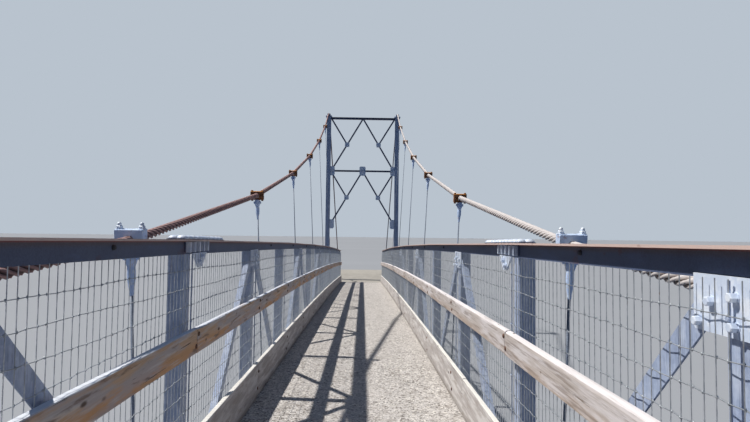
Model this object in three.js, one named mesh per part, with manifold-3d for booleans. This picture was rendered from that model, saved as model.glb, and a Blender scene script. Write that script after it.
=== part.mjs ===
// A suspension footbridge with stiffening trusses, as a 1:10 scale model.
// Every size below is the real bridge's, in millimetres. The finished geometry is multiplied by SCALE.
// The deck runs along Y, X points to the right of a walker going towards +Y, and Z = 0 is the ground line.
import * as THREE from "three";
import { mergeVertices } from "three/addons/utils/BufferGeometryUtils.js";
import Module from "manifold-3d";

const wasm = await Module();
wasm.setup();

const SCALE = 0.1;
const GAP = 3; // clearance between pieces that touch

// Span and panels
const HANGER_SPACING = 3860;
const PANEL = HANGER_SPACING / 2;
const POST_SHIFT = 80; // the posts and the floor beams stand this far beyond the hangers
const HANGER_COUNT = 16;
const TOWER_Y = ((HANGER_COUNT + 1) * HANGER_SPACING) / 2;
const TRUSS_END_Y = TOWER_Y - 1000;
const LAST_PANEL_INDEX = Math.floor(TRUSS_END_Y / PANEL);
const SPLICE_INDEX = 5; // of the panel points at the splices
const SPLICE_REACH = 60; // the middle section's chords run this far past the posts there

// Deck level
const DECK_END_LEVEL = 2300; // walking surface above the ground line, at the towers
const CAMBER = 7.5e-7; // fall of the deck from midspan, per millimetre squared
const DECK_MID_LEVEL = DECK_END_LEVEL + CAMBER * TOWER_Y ** 2;

// Cross-section of the walkway, from the centre line and from the walking surface
const KERB = { inner: 918, outer: 957, low: GAP, high: 320 };
const RAIL = { inner: 918, outer: 957, low: 800, high: 945 };
const FENCE = { inner: 960, outer: 972, low: 12, high: 1385, bar: 27, inset: 2 };
const CHORD = { inner: 937, outer: 1037 };
const TOP_CHORD = { low: 1390, high: 1470 };
const BOTTOM_CHORD = { low: -504.5, high: -392.5 };
const POST = { inner: 990, outer: 1090, width: 100 };
const DIAGONAL = { inner: 984, outer: 1058, width: 80, foot: 55 }; // foot: its distance from the post's middle
const GUSSET = { inner: 975, outer: 992, half: 165, low: 1240 };
const DECK_SLAB = { half: 972, low: -63, high: 0 };
const STRINGER = { places: [-800, 0, 800], width: 80, low: -236.5, high: -66 };
const CROSS_BEAM = { half: 981, width: 80, low: -335, high: -235 };
const END_BEAM_INSET = 160;

// Hangers
const FLOOR_BEAM = { half: 1290, width: 100, low: -389.5, high: -239.5 };
const BRACKET = { half: 45, before: 45, low: -380, high: -310 }; // beside the beam, for the rod
const HANGER_FOOT_X = 1215;
const HANGER_ROD_RADIUS = 12;
const HANGER_SOCKET = { length: 300, wide: 38, narrow: 16 };
const HANGER_SIDES = 6;
// The bore leaves room for the slight bend of the cable inside the clamp.
const CLAMP = { halfX: 83, halfY: 35, above: 68, below: 60, bore: 40 };

// Main cables
const CABLE_RADIUS = 32;
const CABLE_SIDES = 8;
const CABLE_LOW_ABOVE_DECK = 812; // at midspan
const CABLE_RISE = 92.3; // height gained in the first hanger interval from midspan, and its square law
const CABLE_MID_X = 1257;
const CABLE_TOWER_X = 1680;
const SADDLE_RADIUS = 900;
const SADDLE_STEPS = 6;
const BACKSTAY_RUN = 14500;
const ANCHOR_SOCKET = { length: 600, wide: 95, narrow: 55 };
const ANCHOR_BELOW_TOP = 330; // depth of the cable's end under the anchor block's top

// Towers
const COLUMN = { width: 200, flange: 22, web: 18 };
const BASE_PLATE = { half: 240, height: 40 };
const CAP_PLATE = { halfX: 150, halfY: 205, height: 30 };
const SADDLE_BLOCK = { halfX: 75, halfY: 190, above: 15, below: 90, lip: 35 };
const TOP_BEAM = { depth: 100, thick: 100 };
const STRUT = { above: 5400, depth: 80, thick: 80 };
const BRACE_FOOT_ABOVE = 2790;
const BRACE = { width: 70, thick: 50 };
const BRACE_GUSSET = { width: 300, height: 450, small: 220, thick: 62 };

// Concrete
const PEDESTAL = { inner: 1250, outer: 2130, half: 520, top: 900 };
const ABUTMENT = { half: 1380, seat: 520, back: 3700, rise: 0.06 };
const ANCHOR_BLOCK = { half: 2300, length: 3000, height: 1500 };
const ANCHOR_FACE_BELOW = 400; // length of the anchorage's inclined face below the cable

// Wing rails between the truss ends and the towers
const WING_WIDTH = 60;

const panelY = (index) => index * PANEL + POST_SHIFT;

// The places where the camber bends: the floor beams and the two ends of the deck.
const CAMBER_STATIONS = [-TRUSS_END_Y, TRUSS_END_Y];
for (let i = 0; i < HANGER_COUNT; i++)
  CAMBER_STATIONS.splice(-1, 0, panelY(2 * i + 1 - HANGER_COUNT));

// The level of the walking surface, which runs straight from one station to the next.
function deckLevel(y) {
  const last = CAMBER_STATIONS.length - 2;
  const after = CAMBER_STATIONS.findIndex((station) => station > y) - 1;
  const index = after < 0 ? (y < 0 ? 0 : last) : Math.min(after, last);
  const [y0, y1] = [CAMBER_STATIONS[index], CAMBER_STATIONS[index + 1]];
  const [z0, z1] = [y0, y1].map((station) => DECK_MID_LEVEL - CAMBER * station * station);
  return z0 + ((z1 - z0) * (y - y0)) / (y1 - y0);
}

// A closed three.js geometry as a solid.
function solid(geometry) {
  geometry.deleteAttribute("normal");
  geometry.deleteAttribute("uv");
  const merged = mergeVertices(geometry, 1e-3);
  return new wasm.Manifold(
    new wasm.Mesh({
      numProp: 3,
      vertProperties: merged.attributes.position.array,
      triVerts: new Uint32Array(merged.index.array),
    }),
  );
}

const join = (solids) => solids.reduce((sum, next) => sum.add(next));

function box(x0, x1, y0, y1, z0, z1) {
  const geometry = new THREE.BoxGeometry(x1 - x0, y1 - y0, z1 - z0);
  geometry.translate((x0 + x1) / 2, (y0 + y1) / 2, (z0 + z1) / 2);
  return solid(geometry);
}

function counterClockwise(points) {
  const outline = points.map(([a, b]) => new THREE.Vector2(a, b));
  return THREE.ShapeUtils.area(outline) < 0 ? outline.reverse() : outline;
}

// A plate whose outline is given as [y, z] points and whose thickness runs from x0 to x1.
function plateYZ(points, x0, x1) {
  const shape = new THREE.Shape(counterClockwise(points));
  const geometry = new THREE.ExtrudeGeometry(shape, { depth: x1 - x0, bevelEnabled: false });
  geometry.applyMatrix4(
    new THREE.Matrix4().makeBasis(
      new THREE.Vector3(0, 1, 0),
      new THREE.Vector3(0, 0, 1),
      new THREE.Vector3(1, 0, 0),
    ),
  );
  geometry.translate(x0, 0, 0);
  return solid(geometry);
}

// A plate whose outline is given as [x, z] points and whose thickness runs from y0 to y1.
function plateXZ(points, y0, y1) {
  const shape = new THREE.Shape(counterClockwise(points));
  const geometry = new THREE.ExtrudeGeometry(shape, { depth: y1 - y0, bevelEnabled: false });
  geometry.rotateX(Math.PI / 2);
  geometry.translate(0, y1, 0);
  return solid(geometry);
}

// The outline of a straight bar of the given width between two points of a plane.
function barOutline([a0, b0], [a1, b1], width) {
  const length = Math.hypot(a1 - a0, b1 - b0);
  const across = [(-(b1 - b0) / length) * (width / 2), ((a1 - a0) / length) * (width / 2)];
  return [
    [a0 + across[0], b0 + across[1]],
    [a1 + across[0], b1 + across[1]],
    [a1 - across[0], b1 - across[1]],
    [a0 - across[0], b0 - across[1]],
  ];
}

// A cylinder or cone with its axis from one point to another.
function rod(from, to, radiusFrom, radiusTo, sides) {
  const axis = to.clone().sub(from);
  const geometry = new THREE.CylinderGeometry(radiusTo, radiusFrom, axis.length(), sides);
  geometry.applyQuaternion(
    new THREE.Quaternion().setFromUnitVectors(new THREE.Vector3(0, 1, 0), axis.clone().normalize()),
  );
  const middle = from.clone().add(to).multiplyScalar(0.5);
  geometry.translate(middle.x, middle.y, middle.z);
  return solid(geometry);
}

// A path of straight stretches, with a section of its extrusion at each corner.
class Route extends THREE.Curve {
  constructor(points) {
    super();
    this.points = points;
  }

  getPoint(t) {
    const place = t * (this.points.length - 1);
    const index = Math.min(Math.floor(place + 1e-9), this.points.length - 2);
    return this.points[index].clone().lerp(this.points[index + 1], place - index);
  }

  getPointAt(t) {
    return this.getPoint(t);
  }

  getTangentAt(t) {
    const index = Math.round(t * (this.points.length - 1));
    const before = this.points[Math.max(index - 1, 0)];
    const here = this.points[index];
    const after = this.points[Math.min(index + 1, this.points.length - 1)];
    const into = here.clone().sub(before).normalize();
    return into.add(after.clone().sub(here).normalize()).normalize();
  }
}

function tube(points, radius, sides) {
  const section = [];
  for (let i = 0; i < sides; i++) {
    const angle = ((i + 0.5) * 2 * Math.PI) / sides;
    section.push(new THREE.Vector2(radius * Math.cos(angle), radius * Math.sin(angle)));
  }
  const geometry = new THREE.ExtrudeGeometry(new THREE.Shape(section), {
    steps: points.length - 1,
    extrudePath: new Route(points),
    bevelEnabled: false,
  });
  return solid(geometry);
}

// A member that follows the deck's camber between two places, between two levels above the deck.
function deckStrip(yFrom, yTo, x0, x1, low, high) {
  const inside = CAMBER_STATIONS.filter((y) => y > yFrom && y < yTo);
  const stations = [yFrom, ...inside, yTo];
  const lower = stations.map((y) => [y, deckLevel(y) + low]);
  const upper = stations.map((y) => [y, deckLevel(y) + high]).reverse();
  return plateYZ([...lower, ...upper], x0, x1);
}

// The limits in X of a member on one side of the walkway, given from the centre line.
const across = (side, { inner, outer }) => (side > 0 ? [inner, outer] : [-outer, -inner]);

// The panel points of a truss, and its end posts. The diagonals meet at the points marked top.
// The posts marked hung stand on the floor beams that the hangers carry.
function panelPoints() {
  const endPost = TRUSS_END_Y - POST.width / 2;
  const points = [{ y: -endPost, top: false, hung: false }];
  for (let i = -LAST_PANEL_INDEX; i <= LAST_PANEL_INDEX; i++)
    points.push({ y: panelY(i), top: i % 2 === 0, hung: i % 2 !== 0 });
  points.push({ y: endPost, top: false, hung: false });
  return points;
}

// One section of a truss: two chords, a post at each panel point and a diagonal in each panel.
// The diagonals rise from the hanger points and meet in pairs at a gusset under the top chord.
function trussSection(side, yFrom, yTo) {
  const [d0, d1] = across(side, DIAGONAL);
  const [g0, g1] = across(side, GUSSET);
  const topMiddle = (TOP_CHORD.low + TOP_CHORD.high) / 2;
  const bottomMiddle = (BOTTOM_CHORD.low + BOTTOM_CHORD.high) / 2;
  const [p0, p1] = across(side, POST);
  const pieces = [TOP_CHORD, BOTTOM_CHORD].map(({ low, high }) =>
    deckStrip(yFrom, yTo, ...across(side, CHORD), low, high),
  );
  panelPoints().forEach((point, i, points) => {
    const level = deckLevel(point.y);
    if (point.y > yFrom && point.y < yTo) {
      const [y0, y1] = [point.y - POST.width / 2, point.y + POST.width / 2];
      const foot = point.hung ? FLOOR_BEAM.high + GAP : bottomMiddle;
      pieces.push(box(p0, p1, y0, y1, level + foot, level + topMiddle));
      if (point.top) {
        const [y2, y3] = [point.y - GUSSET.half, point.y + GUSSET.half];
        pieces.push(box(g0, g1, y2, y3, level + GUSSET.low, level + topMiddle));
      }
    }
    const next = points[i + 1];
    if (!next) return;
    const middle = (point.y + next.y) / 2;
    if (middle < yFrom || middle > yTo) return;
    const upper = point.top ? point : next;
    const lower = point.top ? next : point;
    const towards = Math.sign(upper.y - lower.y);
    const outline = barOutline(
      [lower.y + towards * DIAGONAL.foot, deckLevel(lower.y) + bottomMiddle],
      [upper.y, deckLevel(upper.y) + topMiddle],
      DIAGONAL.width,
    );
    pieces.push(plateYZ(outline, d0, d1));
  });
  const [x0, x1] = across(side, { inner: 0, outer: 2 * POST.outer });
  const window = box(x0, x1, yFrom, yTo, 0, 2 * DECK_MID_LEVEL);
  return join(pieces).intersect(window);
}

// The short rail that closes the corner between a truss end and the tower column beside it.
function wingRail(side, end) {
  const start = [POST.outer + GAP, TRUSS_END_Y - POST.width / 2];
  const finish = [
    CABLE_TOWER_X - COLUMN.width / 2 - GAP,
    TOWER_Y - COLUMN.width / 2 + COLUMN.flange / 2,
  ];
  const outline = [
    [start[0], start[1] - WING_WIDTH / 2],
    [finish[0], finish[1] - WING_WIDTH / 2],
    [finish[0], finish[1] + WING_WIDTH / 2],
    [start[0], start[1] + WING_WIDTH / 2],
  ].map(([x, y]) => [side * x, end * y]);
  const geometry = new THREE.ExtrudeGeometry(new THREE.Shape(counterClockwise(outline)), {
    depth: TOP_CHORD.high - TOP_CHORD.low,
    bevelEnabled: false,
  });
  geometry.translate(0, 0, deckLevel(TRUSS_END_Y) + TOP_CHORD.low);
  return solid(geometry);
}

// The mesh fence's frame: a bar at each post, between a top bar and a bottom bar.
function fence(side) {
  const [x0, x1] = across(side, FENCE);
  const pieces = [
    deckStrip(-TRUSS_END_Y, TRUSS_END_Y, x0, x1, FENCE.high - FENCE.bar, FENCE.high),
    deckStrip(-TRUSS_END_Y, TRUSS_END_Y, x0, x1, FENCE.low, FENCE.low + FENCE.bar),
  ];
  for (let i = -LAST_PANEL_INDEX; i <= LAST_PANEL_INDEX; i++) {
    const level = deckLevel(panelY(i));
    const [y0, y1] = [panelY(i) - FENCE.bar / 2, panelY(i) + FENCE.bar / 2];
    const [z0, z1] = [level + FENCE.low + FENCE.bar / 2, level + FENCE.high - FENCE.bar / 2];
    pieces.push(box(x0 + FENCE.inset, x1 - FENCE.inset, y0, y1, z0, z1));
  }
  return join(pieces);
}

// Three stringers on the cross-beams that stand between the hangers, and a beam at each end.
function floorFrame() {
  const pieces = STRINGER.places.map((x) =>
    deckStrip(
      -TRUSS_END_Y,
      TRUSS_END_Y,
      x - STRINGER.width / 2,
      x + STRINGER.width / 2,
      STRINGER.low,
      STRINGER.high,
    ),
  );
  const places = [-TRUSS_END_Y + END_BEAM_INSET, TRUSS_END_Y - END_BEAM_INSET];
  for (let i = -LAST_PANEL_INDEX; i <= LAST_PANEL_INDEX; i += 2) places.push(panelY(i));
  for (const y of places) {
    const level = deckLevel(y);
    const half = CROSS_BEAM.width / 2;
    pieces.push(
      box(
        -CROSS_BEAM.half,
        CROSS_BEAM.half,
        y - half,
        y + half,
        level + CROSS_BEAM.low,
        level + CROSS_BEAM.high,
      ),
    );
  }
  return join(pieces);
}

// The cable's centre at a place along the span, counted in hanger intervals from midspan.
function cablePoint(side, interval) {
  const reach = (interval * interval) / ((HANGER_COUNT + 1) / 2) ** 2;
  return new THREE.Vector3(
    side * (CABLE_MID_X + (CABLE_TOWER_X - CABLE_MID_X) * reach),
    interval * HANGER_SPACING,
    DECK_MID_LEVEL + CABLE_LOW_ABOVE_DECK + CABLE_RISE * interval * interval,
  );
}

const TOWER_INTERVAL = (HANGER_COUNT + 1) / 2;
const SADDLE_POINT = cablePoint(1, TOWER_INTERVAL);
const LAST_HANGER_POINT = cablePoint(1, TOWER_INTERVAL - 1);
const ANCHOR_LEVEL = ANCHOR_BLOCK.height - ANCHOR_BELOW_TOP;
const MAIN_ANGLE = Math.atan2(SADDLE_POINT.z - LAST_HANGER_POINT.z, HANGER_SPACING);
const BACKSTAY_ANGLE = Math.atan2(SADDLE_POINT.z - ANCHOR_LEVEL, BACKSTAY_RUN);

// The highest level of the cable's centre, and the top of the column's cap plate under it.
const CROWN_LEVEL =
  SADDLE_POINT.z - SADDLE_RADIUS * (1 / Math.cos((MAIN_ANGLE + BACKSTAY_ANGLE) / 2) - 1);
const CAP_LEVEL = CROWN_LEVEL - SADDLE_BLOCK.below;

// The round of the cable over a saddle, in the plane of the tower column, from the span's side.
function saddlePoints() {
  const turn = MAIN_ANGLE + BACKSTAY_ANGLE;
  const tangent = SADDLE_RADIUS * Math.tan(turn / 2);
  const start = [
    TOWER_Y - tangent * Math.cos(MAIN_ANGLE),
    SADDLE_POINT.z - tangent * Math.sin(MAIN_ANGLE),
  ];
  const centre = [
    start[0] + SADDLE_RADIUS * Math.sin(MAIN_ANGLE),
    start[1] - SADDLE_RADIUS * Math.cos(MAIN_ANGLE),
  ];
  const points = [];
  for (let i = 0; i <= SADDLE_STEPS; i++) {
    const angle = MAIN_ANGLE - (turn * i) / SADDLE_STEPS;
    points.push([
      centre[0] - SADDLE_RADIUS * Math.sin(angle),
      centre[1] + SADDLE_RADIUS * Math.cos(angle),
    ]);
  }
  return points;
}

// The whole cable's centre line, from the anchorage at -Y to the one at +Y.
function cableRoute(side) {
  const outer = saddlePoints().map(([y, z]) => new THREE.Vector3(side * CABLE_TOWER_X, y, z));
  outer.push(new THREE.Vector3(side * CABLE_TOWER_X, TOWER_Y + BACKSTAY_RUN, ANCHOR_LEVEL));
  const inner = outer.map((p) => new THREE.Vector3(p.x, -p.y, p.z)).reverse();
  const hangers = [];
  for (let i = 0; i < HANGER_COUNT; i++) hangers.push(cablePoint(side, i + 0.5 - HANGER_COUNT / 2));
  return [...inner, ...hangers, ...outer];
}

function mainCable(side) {
  const route = cableRoute(side);
  const pieces = [tube(route, CABLE_RADIUS, CABLE_SIDES)];
  for (const [end, next] of [
    [route[0], route[1]],
    [route.at(-1), route.at(-2)],
  ]) {
    const along = next.clone().sub(end).normalize();
    const shoulder = end.clone().addScaledVector(along, ANCHOR_SOCKET.length);
    pieces.push(rod(end, shoulder, ANCHOR_SOCKET.wide, ANCHOR_SOCKET.narrow, CABLE_SIDES));
  }
  return join(pieces);
}

// The space that a cable takes, with its clearance, cut from what clasps it.
const cableSpace = (side) => tube(cableRoute(side), CABLE_RADIUS + GAP, CABLE_SIDES);

// A block across the cable, with a round bore for it.
function clampBlock(middle, along) {
  const { halfX, halfY, above, below, bore } = CLAMP;
  const shape = new THREE.Shape(
    [
      [-halfX, -below],
      [halfX, -below],
      [halfX, above],
      [-halfX, above],
    ].map(([a, b]) => new THREE.Vector2(a, b)),
  );
  const ring = Array.from({ length: CABLE_SIDES }, (_, i) => {
    const angle = ((i + 0.5) * 2 * Math.PI) / CABLE_SIDES;
    return new THREE.Vector2(bore * Math.cos(angle), bore * Math.sin(angle));
  });
  shape.holes.push(new THREE.Path(ring));
  const geometry = new THREE.ExtrudeGeometry(shape, { depth: 2 * halfY, bevelEnabled: false });
  geometry.translate(0, 0, -halfY);
  const forward = along.clone().normalize();
  const sideways = new THREE.Vector3(0, 0, 1).cross(forward).normalize();
  const up = forward.clone().cross(sideways);
  geometry.applyMatrix4(new THREE.Matrix4().makeBasis(sideways, up, forward));
  geometry.translate(middle.x, middle.y, middle.z);
  return solid(geometry);
}

// A tapered socket under the cable and the hanger's rod below it, turned about their axis.
function hangerRod(top, foot) {
  const axis = foot.clone().sub(top);
  const start = (CLAMP.bore + CLAMP.below) / 2;
  const profile = [
    [0, start],
    [HANGER_SOCKET.wide, start],
    [HANGER_SOCKET.narrow, start + HANGER_SOCKET.length],
    [HANGER_ROD_RADIUS, start + HANGER_SOCKET.length],
    [HANGER_ROD_RADIUS, axis.length()],
    [0, axis.length()],
  ].map(([radius, along]) => new THREE.Vector2(radius, along));
  const geometry = new THREE.LatheGeometry(profile, HANGER_SIDES);
  geometry.applyQuaternion(
    new THREE.Quaternion().setFromUnitVectors(new THREE.Vector3(0, 1, 0), axis.normalize()),
  );
  geometry.translate(top.x, top.y, top.z);
  return solid(geometry);
}

// A floor beam slung from both cables by a clamp, a socket and a rod at each end. The rods hang beside
// the beam and hold it by a bracket.
function hangerFrame(index) {
  const interval = index + 0.5 - HANGER_COUNT / 2;
  const y = interval * HANGER_SPACING;
  const beamY = y + POST_SHIFT;
  const level = deckLevel(beamY);
  const { half, width, low, high } = FLOOR_BEAM;
  const [z0, z1] = [level + BRACKET.low, level + BRACKET.high];
  const pieces = [
    box(-half, half, beamY - width / 2, beamY + width / 2, level + low, level + high),
  ];
  for (const side of [-1, 1]) {
    const top = cablePoint(side, interval);
    const along = cablePoint(side, interval + 0.5).sub(cablePoint(side, interval - 0.5));
    const foot = new THREE.Vector3(side * HANGER_FOOT_X, y, (z0 + z1) / 2);
    const [x0, x1] = [foot.x - BRACKET.half, foot.x + BRACKET.half];
    pieces.push(clampBlock(top, along), hangerRod(top, foot));
    pieces.push(box(x0, x1, y - BRACKET.before, beamY - width / 2 + 1, z0, z1));
  }
  return join(pieces);
}

// A tower column of H section, with its base plate, cap plate and the saddle that the cable lies in.
function towerColumn(side, end) {
  const x = side * CABLE_TOWER_X;
  const y = end * TOWER_Y;
  const half = COLUMN.width / 2;
  const { flange, web } = COLUMN;
  const outline = [
    [-half, -half],
    [half, -half],
    [half, -half + flange],
    [web / 2, -half + flange],
    [web / 2, half - flange],
    [half, half - flange],
    [half, half],
    [-half, half],
    [-half, half - flange],
    [-web / 2, half - flange],
    [-web / 2, -half + flange],
    [-half, -half + flange],
  ].map(([a, b]) => new THREE.Vector2(a, b));
  const foot = PEDESTAL.top + GAP;
  const shaft = new THREE.ExtrudeGeometry(new THREE.Shape(outline), {
    depth: CAP_LEVEL - foot - BASE_PLATE.height / 2 - CAP_PLATE.height / 2,
    bevelEnabled: false,
  });
  shaft.translate(x, y, foot + BASE_PLATE.height / 2);
  const { halfX, halfY } = SADDLE_BLOCK;
  const rim = CROWN_LEVEL + SADDLE_BLOCK.above;
  const saddle = plateYZ(
    [
      [y - halfY, CAP_LEVEL - 1],
      [y + halfY, CAP_LEVEL - 1],
      [y + halfY, CAP_LEVEL + SADDLE_BLOCK.lip],
      [y + halfY / 2, rim],
      [y - halfY / 2, rim],
      [y - halfY, CAP_LEVEL + SADDLE_BLOCK.lip],
    ],
    x - halfX,
    x + halfX,
  );
  return join([
    solid(shaft),
    box(
      x - BASE_PLATE.half,
      x + BASE_PLATE.half,
      y - BASE_PLATE.half,
      y + BASE_PLATE.half,
      foot,
      foot + BASE_PLATE.height,
    ),
    box(
      x - CAP_PLATE.halfX,
      x + CAP_PLATE.halfX,
      y - CAP_PLATE.halfY,
      y + CAP_PLATE.halfY,
      CAP_LEVEL - CAP_PLATE.height,
      CAP_LEVEL,
    ),
    saddle.subtract(cableSpace(side)),
  ]);
}

// The bracing between a tower's columns: a top beam, a strut, and in each of the two panels an
// inverted V whose legs are stayed from the columns at their middles. The lower V leaves the portal free.
function towerBracing(end) {
  const y = end * TOWER_Y;
  const level = DECK_END_LEVEL;
  const reach = CABLE_TOWER_X - COLUMN.web / 2 - GAP; // up to the columns' webs
  const plate = (outline, thick) => plateXZ(outline, y - thick / 2, y + thick / 2);
  const bar = ([x0, above0], [x1, above1], width, thick) =>
    plate(barOutline([x0, level + above0], [x1, level + above1], width), thick);
  const gusset = (x, above, width, height) => {
    const x0 = Math.max(x - width / 2, -reach);
    const x1 = Math.min(x + width / 2, reach);
    const [z0, z1] = [level + above - height / 2, level + above + height / 2];
    return plate([[x0, z0], [x1, z0], [x1, z1], [x0, z1]], BRACE_GUSSET.thick);
  };
  const inset = CABLE_TOWER_X - COLUMN.width / 2 - BRACE.width / 2;
  const topAbove = CAP_LEVEL - CAP_PLATE.height - GAP - TOP_BEAM.depth / 2 - level;
  const pieces = [
    bar([-reach, topAbove], [reach, topAbove], TOP_BEAM.depth, TOP_BEAM.thick),
    bar([-reach, STRUT.above], [reach, STRUT.above], STRUT.depth, STRUT.thick),
    gusset(0, STRUT.above, BRACE_GUSSET.width, BRACE_GUSSET.height),
  ];
  for (const side of [-1, 1])
    for (const [apex, footAbove] of [
      [topAbove, STRUT.above],
      [STRUT.above, BRACE_FOOT_ABOVE],
    ]) {
      const middle = [(side * inset) / 2, (apex + footAbove) / 2];
      pieces.push(
        bar([0, apex], [side * inset, footAbove], BRACE.width, BRACE.thick),
        bar([side * inset, apex - BRACE.width / 2], middle, BRACE.width, BRACE.thick),
        gusset(...middle, BRACE_GUSSET.small, BRACE_GUSSET.small),
        gusset(side * reach, footAbove, 2 * BRACE_GUSSET.width, BRACE_GUSSET.height),
      );
    }
  return join(pieces);
}

// An abutment: the seat that the bridge's end rests on, the approach behind it, and a pedestal
// for each tower column.
function abutment(end) {
  const seatLevel = deckLevel(TRUSS_END_Y) + BOTTOM_CHORD.low - GAP;
  const wall = TRUSS_END_Y + 2 * GAP;
  const back = TOWER_Y + ABUTMENT.back;
  const profile = [
    [wall - ABUTMENT.seat, 0],
    [wall - ABUTMENT.seat, seatLevel],
    [wall, seatLevel],
    [wall, deckLevel(TRUSS_END_Y)],
    [back, deckLevel(TRUSS_END_Y) + ABUTMENT.rise * (back - wall)],
    [back, 0],
  ].map(([y, z]) => [end * y, z]);
  const pedestals = [-1, 1].map((side) => {
    const [x0, x1] = across(side, PEDESTAL);
    return box(x0, x1, end * TOWER_Y - PEDESTAL.half, end * TOWER_Y + PEDESTAL.half, 0, PEDESTAL.top);
  });
  return join([plateYZ(profile, -ABUTMENT.half, ABUTMENT.half), ...pedestals]);
}

// An anchorage across both cables, with a face square to them where they enter.
function anchorBlock(end) {
  const front = TOWER_Y + BACKSTAY_RUN;
  const along = [Math.cos(BACKSTAY_ANGLE), -Math.sin(BACKSTAY_ANGLE)];
  const up = [-along[1], along[0]];
  const centre = [front + along[0] * GAP, ANCHOR_LEVEL + along[1] * GAP];
  const upper = (ANCHOR_BLOCK.height - centre[1]) / up[1];
  const low = [centre[0] - up[0] * ANCHOR_FACE_BELOW, centre[1] - up[1] * ANCHOR_FACE_BELOW];
  const profile = [
    low,
    [centre[0] + up[0] * upper, ANCHOR_BLOCK.height],
    [front + ANCHOR_BLOCK.length, ANCHOR_BLOCK.height],
    [front + ANCHOR_BLOCK.length, 0],
    [low[0], 0],
  ].map(([y, z]) => [end * y, z]);
  return plateYZ(profile, -ANCHOR_BLOCK.half, ANCHOR_BLOCK.half);
}

const FINISHES = {
  paintedSteel: { color: 0x8e97a3, roughness: 0.55, metalness: 0.3 },
  galvanised: { color: 0xaeb4b8, roughness: 0.45, metalness: 0.7 },
  rustyRope: { color: 0x7a5a48, roughness: 0.85, metalness: 0.3 },
  weatheredTimber: { color: 0xb7a58c, roughness: 0.9, metalness: 0 },
  gravelSurface: { color: 0xb8b2a6, roughness: 0.95, metalness: 0 },
  concrete: { color: 0xa5a19a, roughness: 0.95, metalness: 0 },
};

const bridge = new THREE.Group();

// Scales a solid down to the model and adds it as a named mesh.
function add(name, finish, made) {
  const mesh = made.getMesh();
  const stride = mesh.numProp;
  const position = new Float32Array(mesh.numVert * 3);
  for (let i = 0; i < mesh.numVert; i++)
    for (let axis = 0; axis < 3; axis++)
      position[i * 3 + axis] = mesh.vertProperties[i * stride + axis] * SCALE;
  const geometry = new THREE.BufferGeometry();
  geometry.setAttribute("position", new THREE.BufferAttribute(position, 3));
  geometry.setIndex(new THREE.BufferAttribute(new Uint32Array(mesh.triVerts), 1));
  geometry.computeVertexNormals();
  const piece = new THREE.Mesh(geometry, new THREE.MeshStandardMaterial(FINISHES[finish]));
  piece.name = name;
  bridge.add(piece);
}

// The deck and the trusses come in three sections, joined at the splices.
const FIRST_SPLICE = panelY(-SPLICE_INDEX) - SPLICE_REACH;
const LAST_SPLICE = panelY(SPLICE_INDEX) + SPLICE_REACH;
const SECTIONS = [
  { name: "near", from: -TRUSS_END_Y, to: FIRST_SPLICE - GAP },
  { name: "middle", from: FIRST_SPLICE, to: LAST_SPLICE },
  { name: "far", from: LAST_SPLICE + GAP, to: TRUSS_END_Y },
];
const SIDES = [
  { name: "left", side: -1 },
  { name: "right", side: 1 },
];
const ENDS = [
  { name: "near", end: -1 },
  { name: "far", end: 1 },
];

for (const { name, from, to } of SECTIONS) {
  const { half, low, high } = DECK_SLAB;
  add(`deck_${name}`, "gravelSurface", deckStrip(from, to, -half, half, low, high));
}
add("floor_frame", "paintedSteel", floorFrame());
for (const { name, side } of SIDES) {
  for (const section of SECTIONS) {
    const truss = trussSection(side, section.from, section.to);
    add(`truss_${name}_${section.name}`, "paintedSteel", truss);
  }
  const strip = (section) =>
    deckStrip(-TRUSS_END_Y, TRUSS_END_Y, ...across(side, section), section.low, section.high);
  add(`kerb_${name}`, "weatheredTimber", strip(KERB));
  add(`mid_rail_${name}`, "weatheredTimber", strip(RAIL));
  add(`mesh_fence_${name}`, "galvanised", fence(side));
  add(`main_cable_${name}`, "rustyRope", mainCable(side));
}
for (let i = 0; i < HANGER_COUNT; i++)
  add(`hanger_frame_${String(i + 1).padStart(2, "0")}`, "galvanised", hangerFrame(i));
for (const { name, end } of ENDS) {
  for (const { name: sideName, side } of SIDES) {
    add(`tower_column_${name}_${sideName}`, "paintedSteel", towerColumn(side, end));
    add(`wing_rail_${name}_${sideName}`, "paintedSteel", wingRail(side, end));
  }
  add(`tower_bracing_${name}`, "paintedSteel", towerBracing(end));
  add(`abutment_${name}`, "concrete", abutment(end));
  add(`anchor_block_${name}`, "concrete", anchorBlock(end));
}

export default bridge;
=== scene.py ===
"""Finishes of a suspension footbridge, a 1:10 scale model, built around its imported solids.

The bridge runs along Y, X points to the right of a walker going towards +Y and Z is up. Sizes are the
real bridge's, in millimetres above the ground line or from the centre line, as its drawings give them.
They become metres of the model only when a mesh or a pattern is made.
"""

from __future__ import annotations

import logging
import math
from collections import defaultdict
from dataclasses import dataclass, field
from enum import Enum
from functools import cached_property

import bpy
import numpy as np
from mathutils import Matrix


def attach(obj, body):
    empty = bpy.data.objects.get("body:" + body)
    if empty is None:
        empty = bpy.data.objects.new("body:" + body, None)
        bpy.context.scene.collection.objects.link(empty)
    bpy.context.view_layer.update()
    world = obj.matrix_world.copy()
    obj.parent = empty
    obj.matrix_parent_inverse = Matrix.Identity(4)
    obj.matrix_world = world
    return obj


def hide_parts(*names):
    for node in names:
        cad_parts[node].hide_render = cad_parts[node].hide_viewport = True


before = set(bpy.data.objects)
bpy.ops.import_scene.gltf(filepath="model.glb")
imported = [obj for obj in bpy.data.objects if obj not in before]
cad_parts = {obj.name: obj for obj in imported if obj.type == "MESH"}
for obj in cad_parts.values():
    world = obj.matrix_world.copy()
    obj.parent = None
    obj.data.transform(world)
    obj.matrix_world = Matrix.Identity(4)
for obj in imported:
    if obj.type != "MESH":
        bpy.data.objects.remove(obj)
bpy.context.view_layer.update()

Array = np.ndarray
Socket = bpy.types.NodeSocket
Pair = tuple[float, float]
Triple = tuple[float, float, float]

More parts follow.
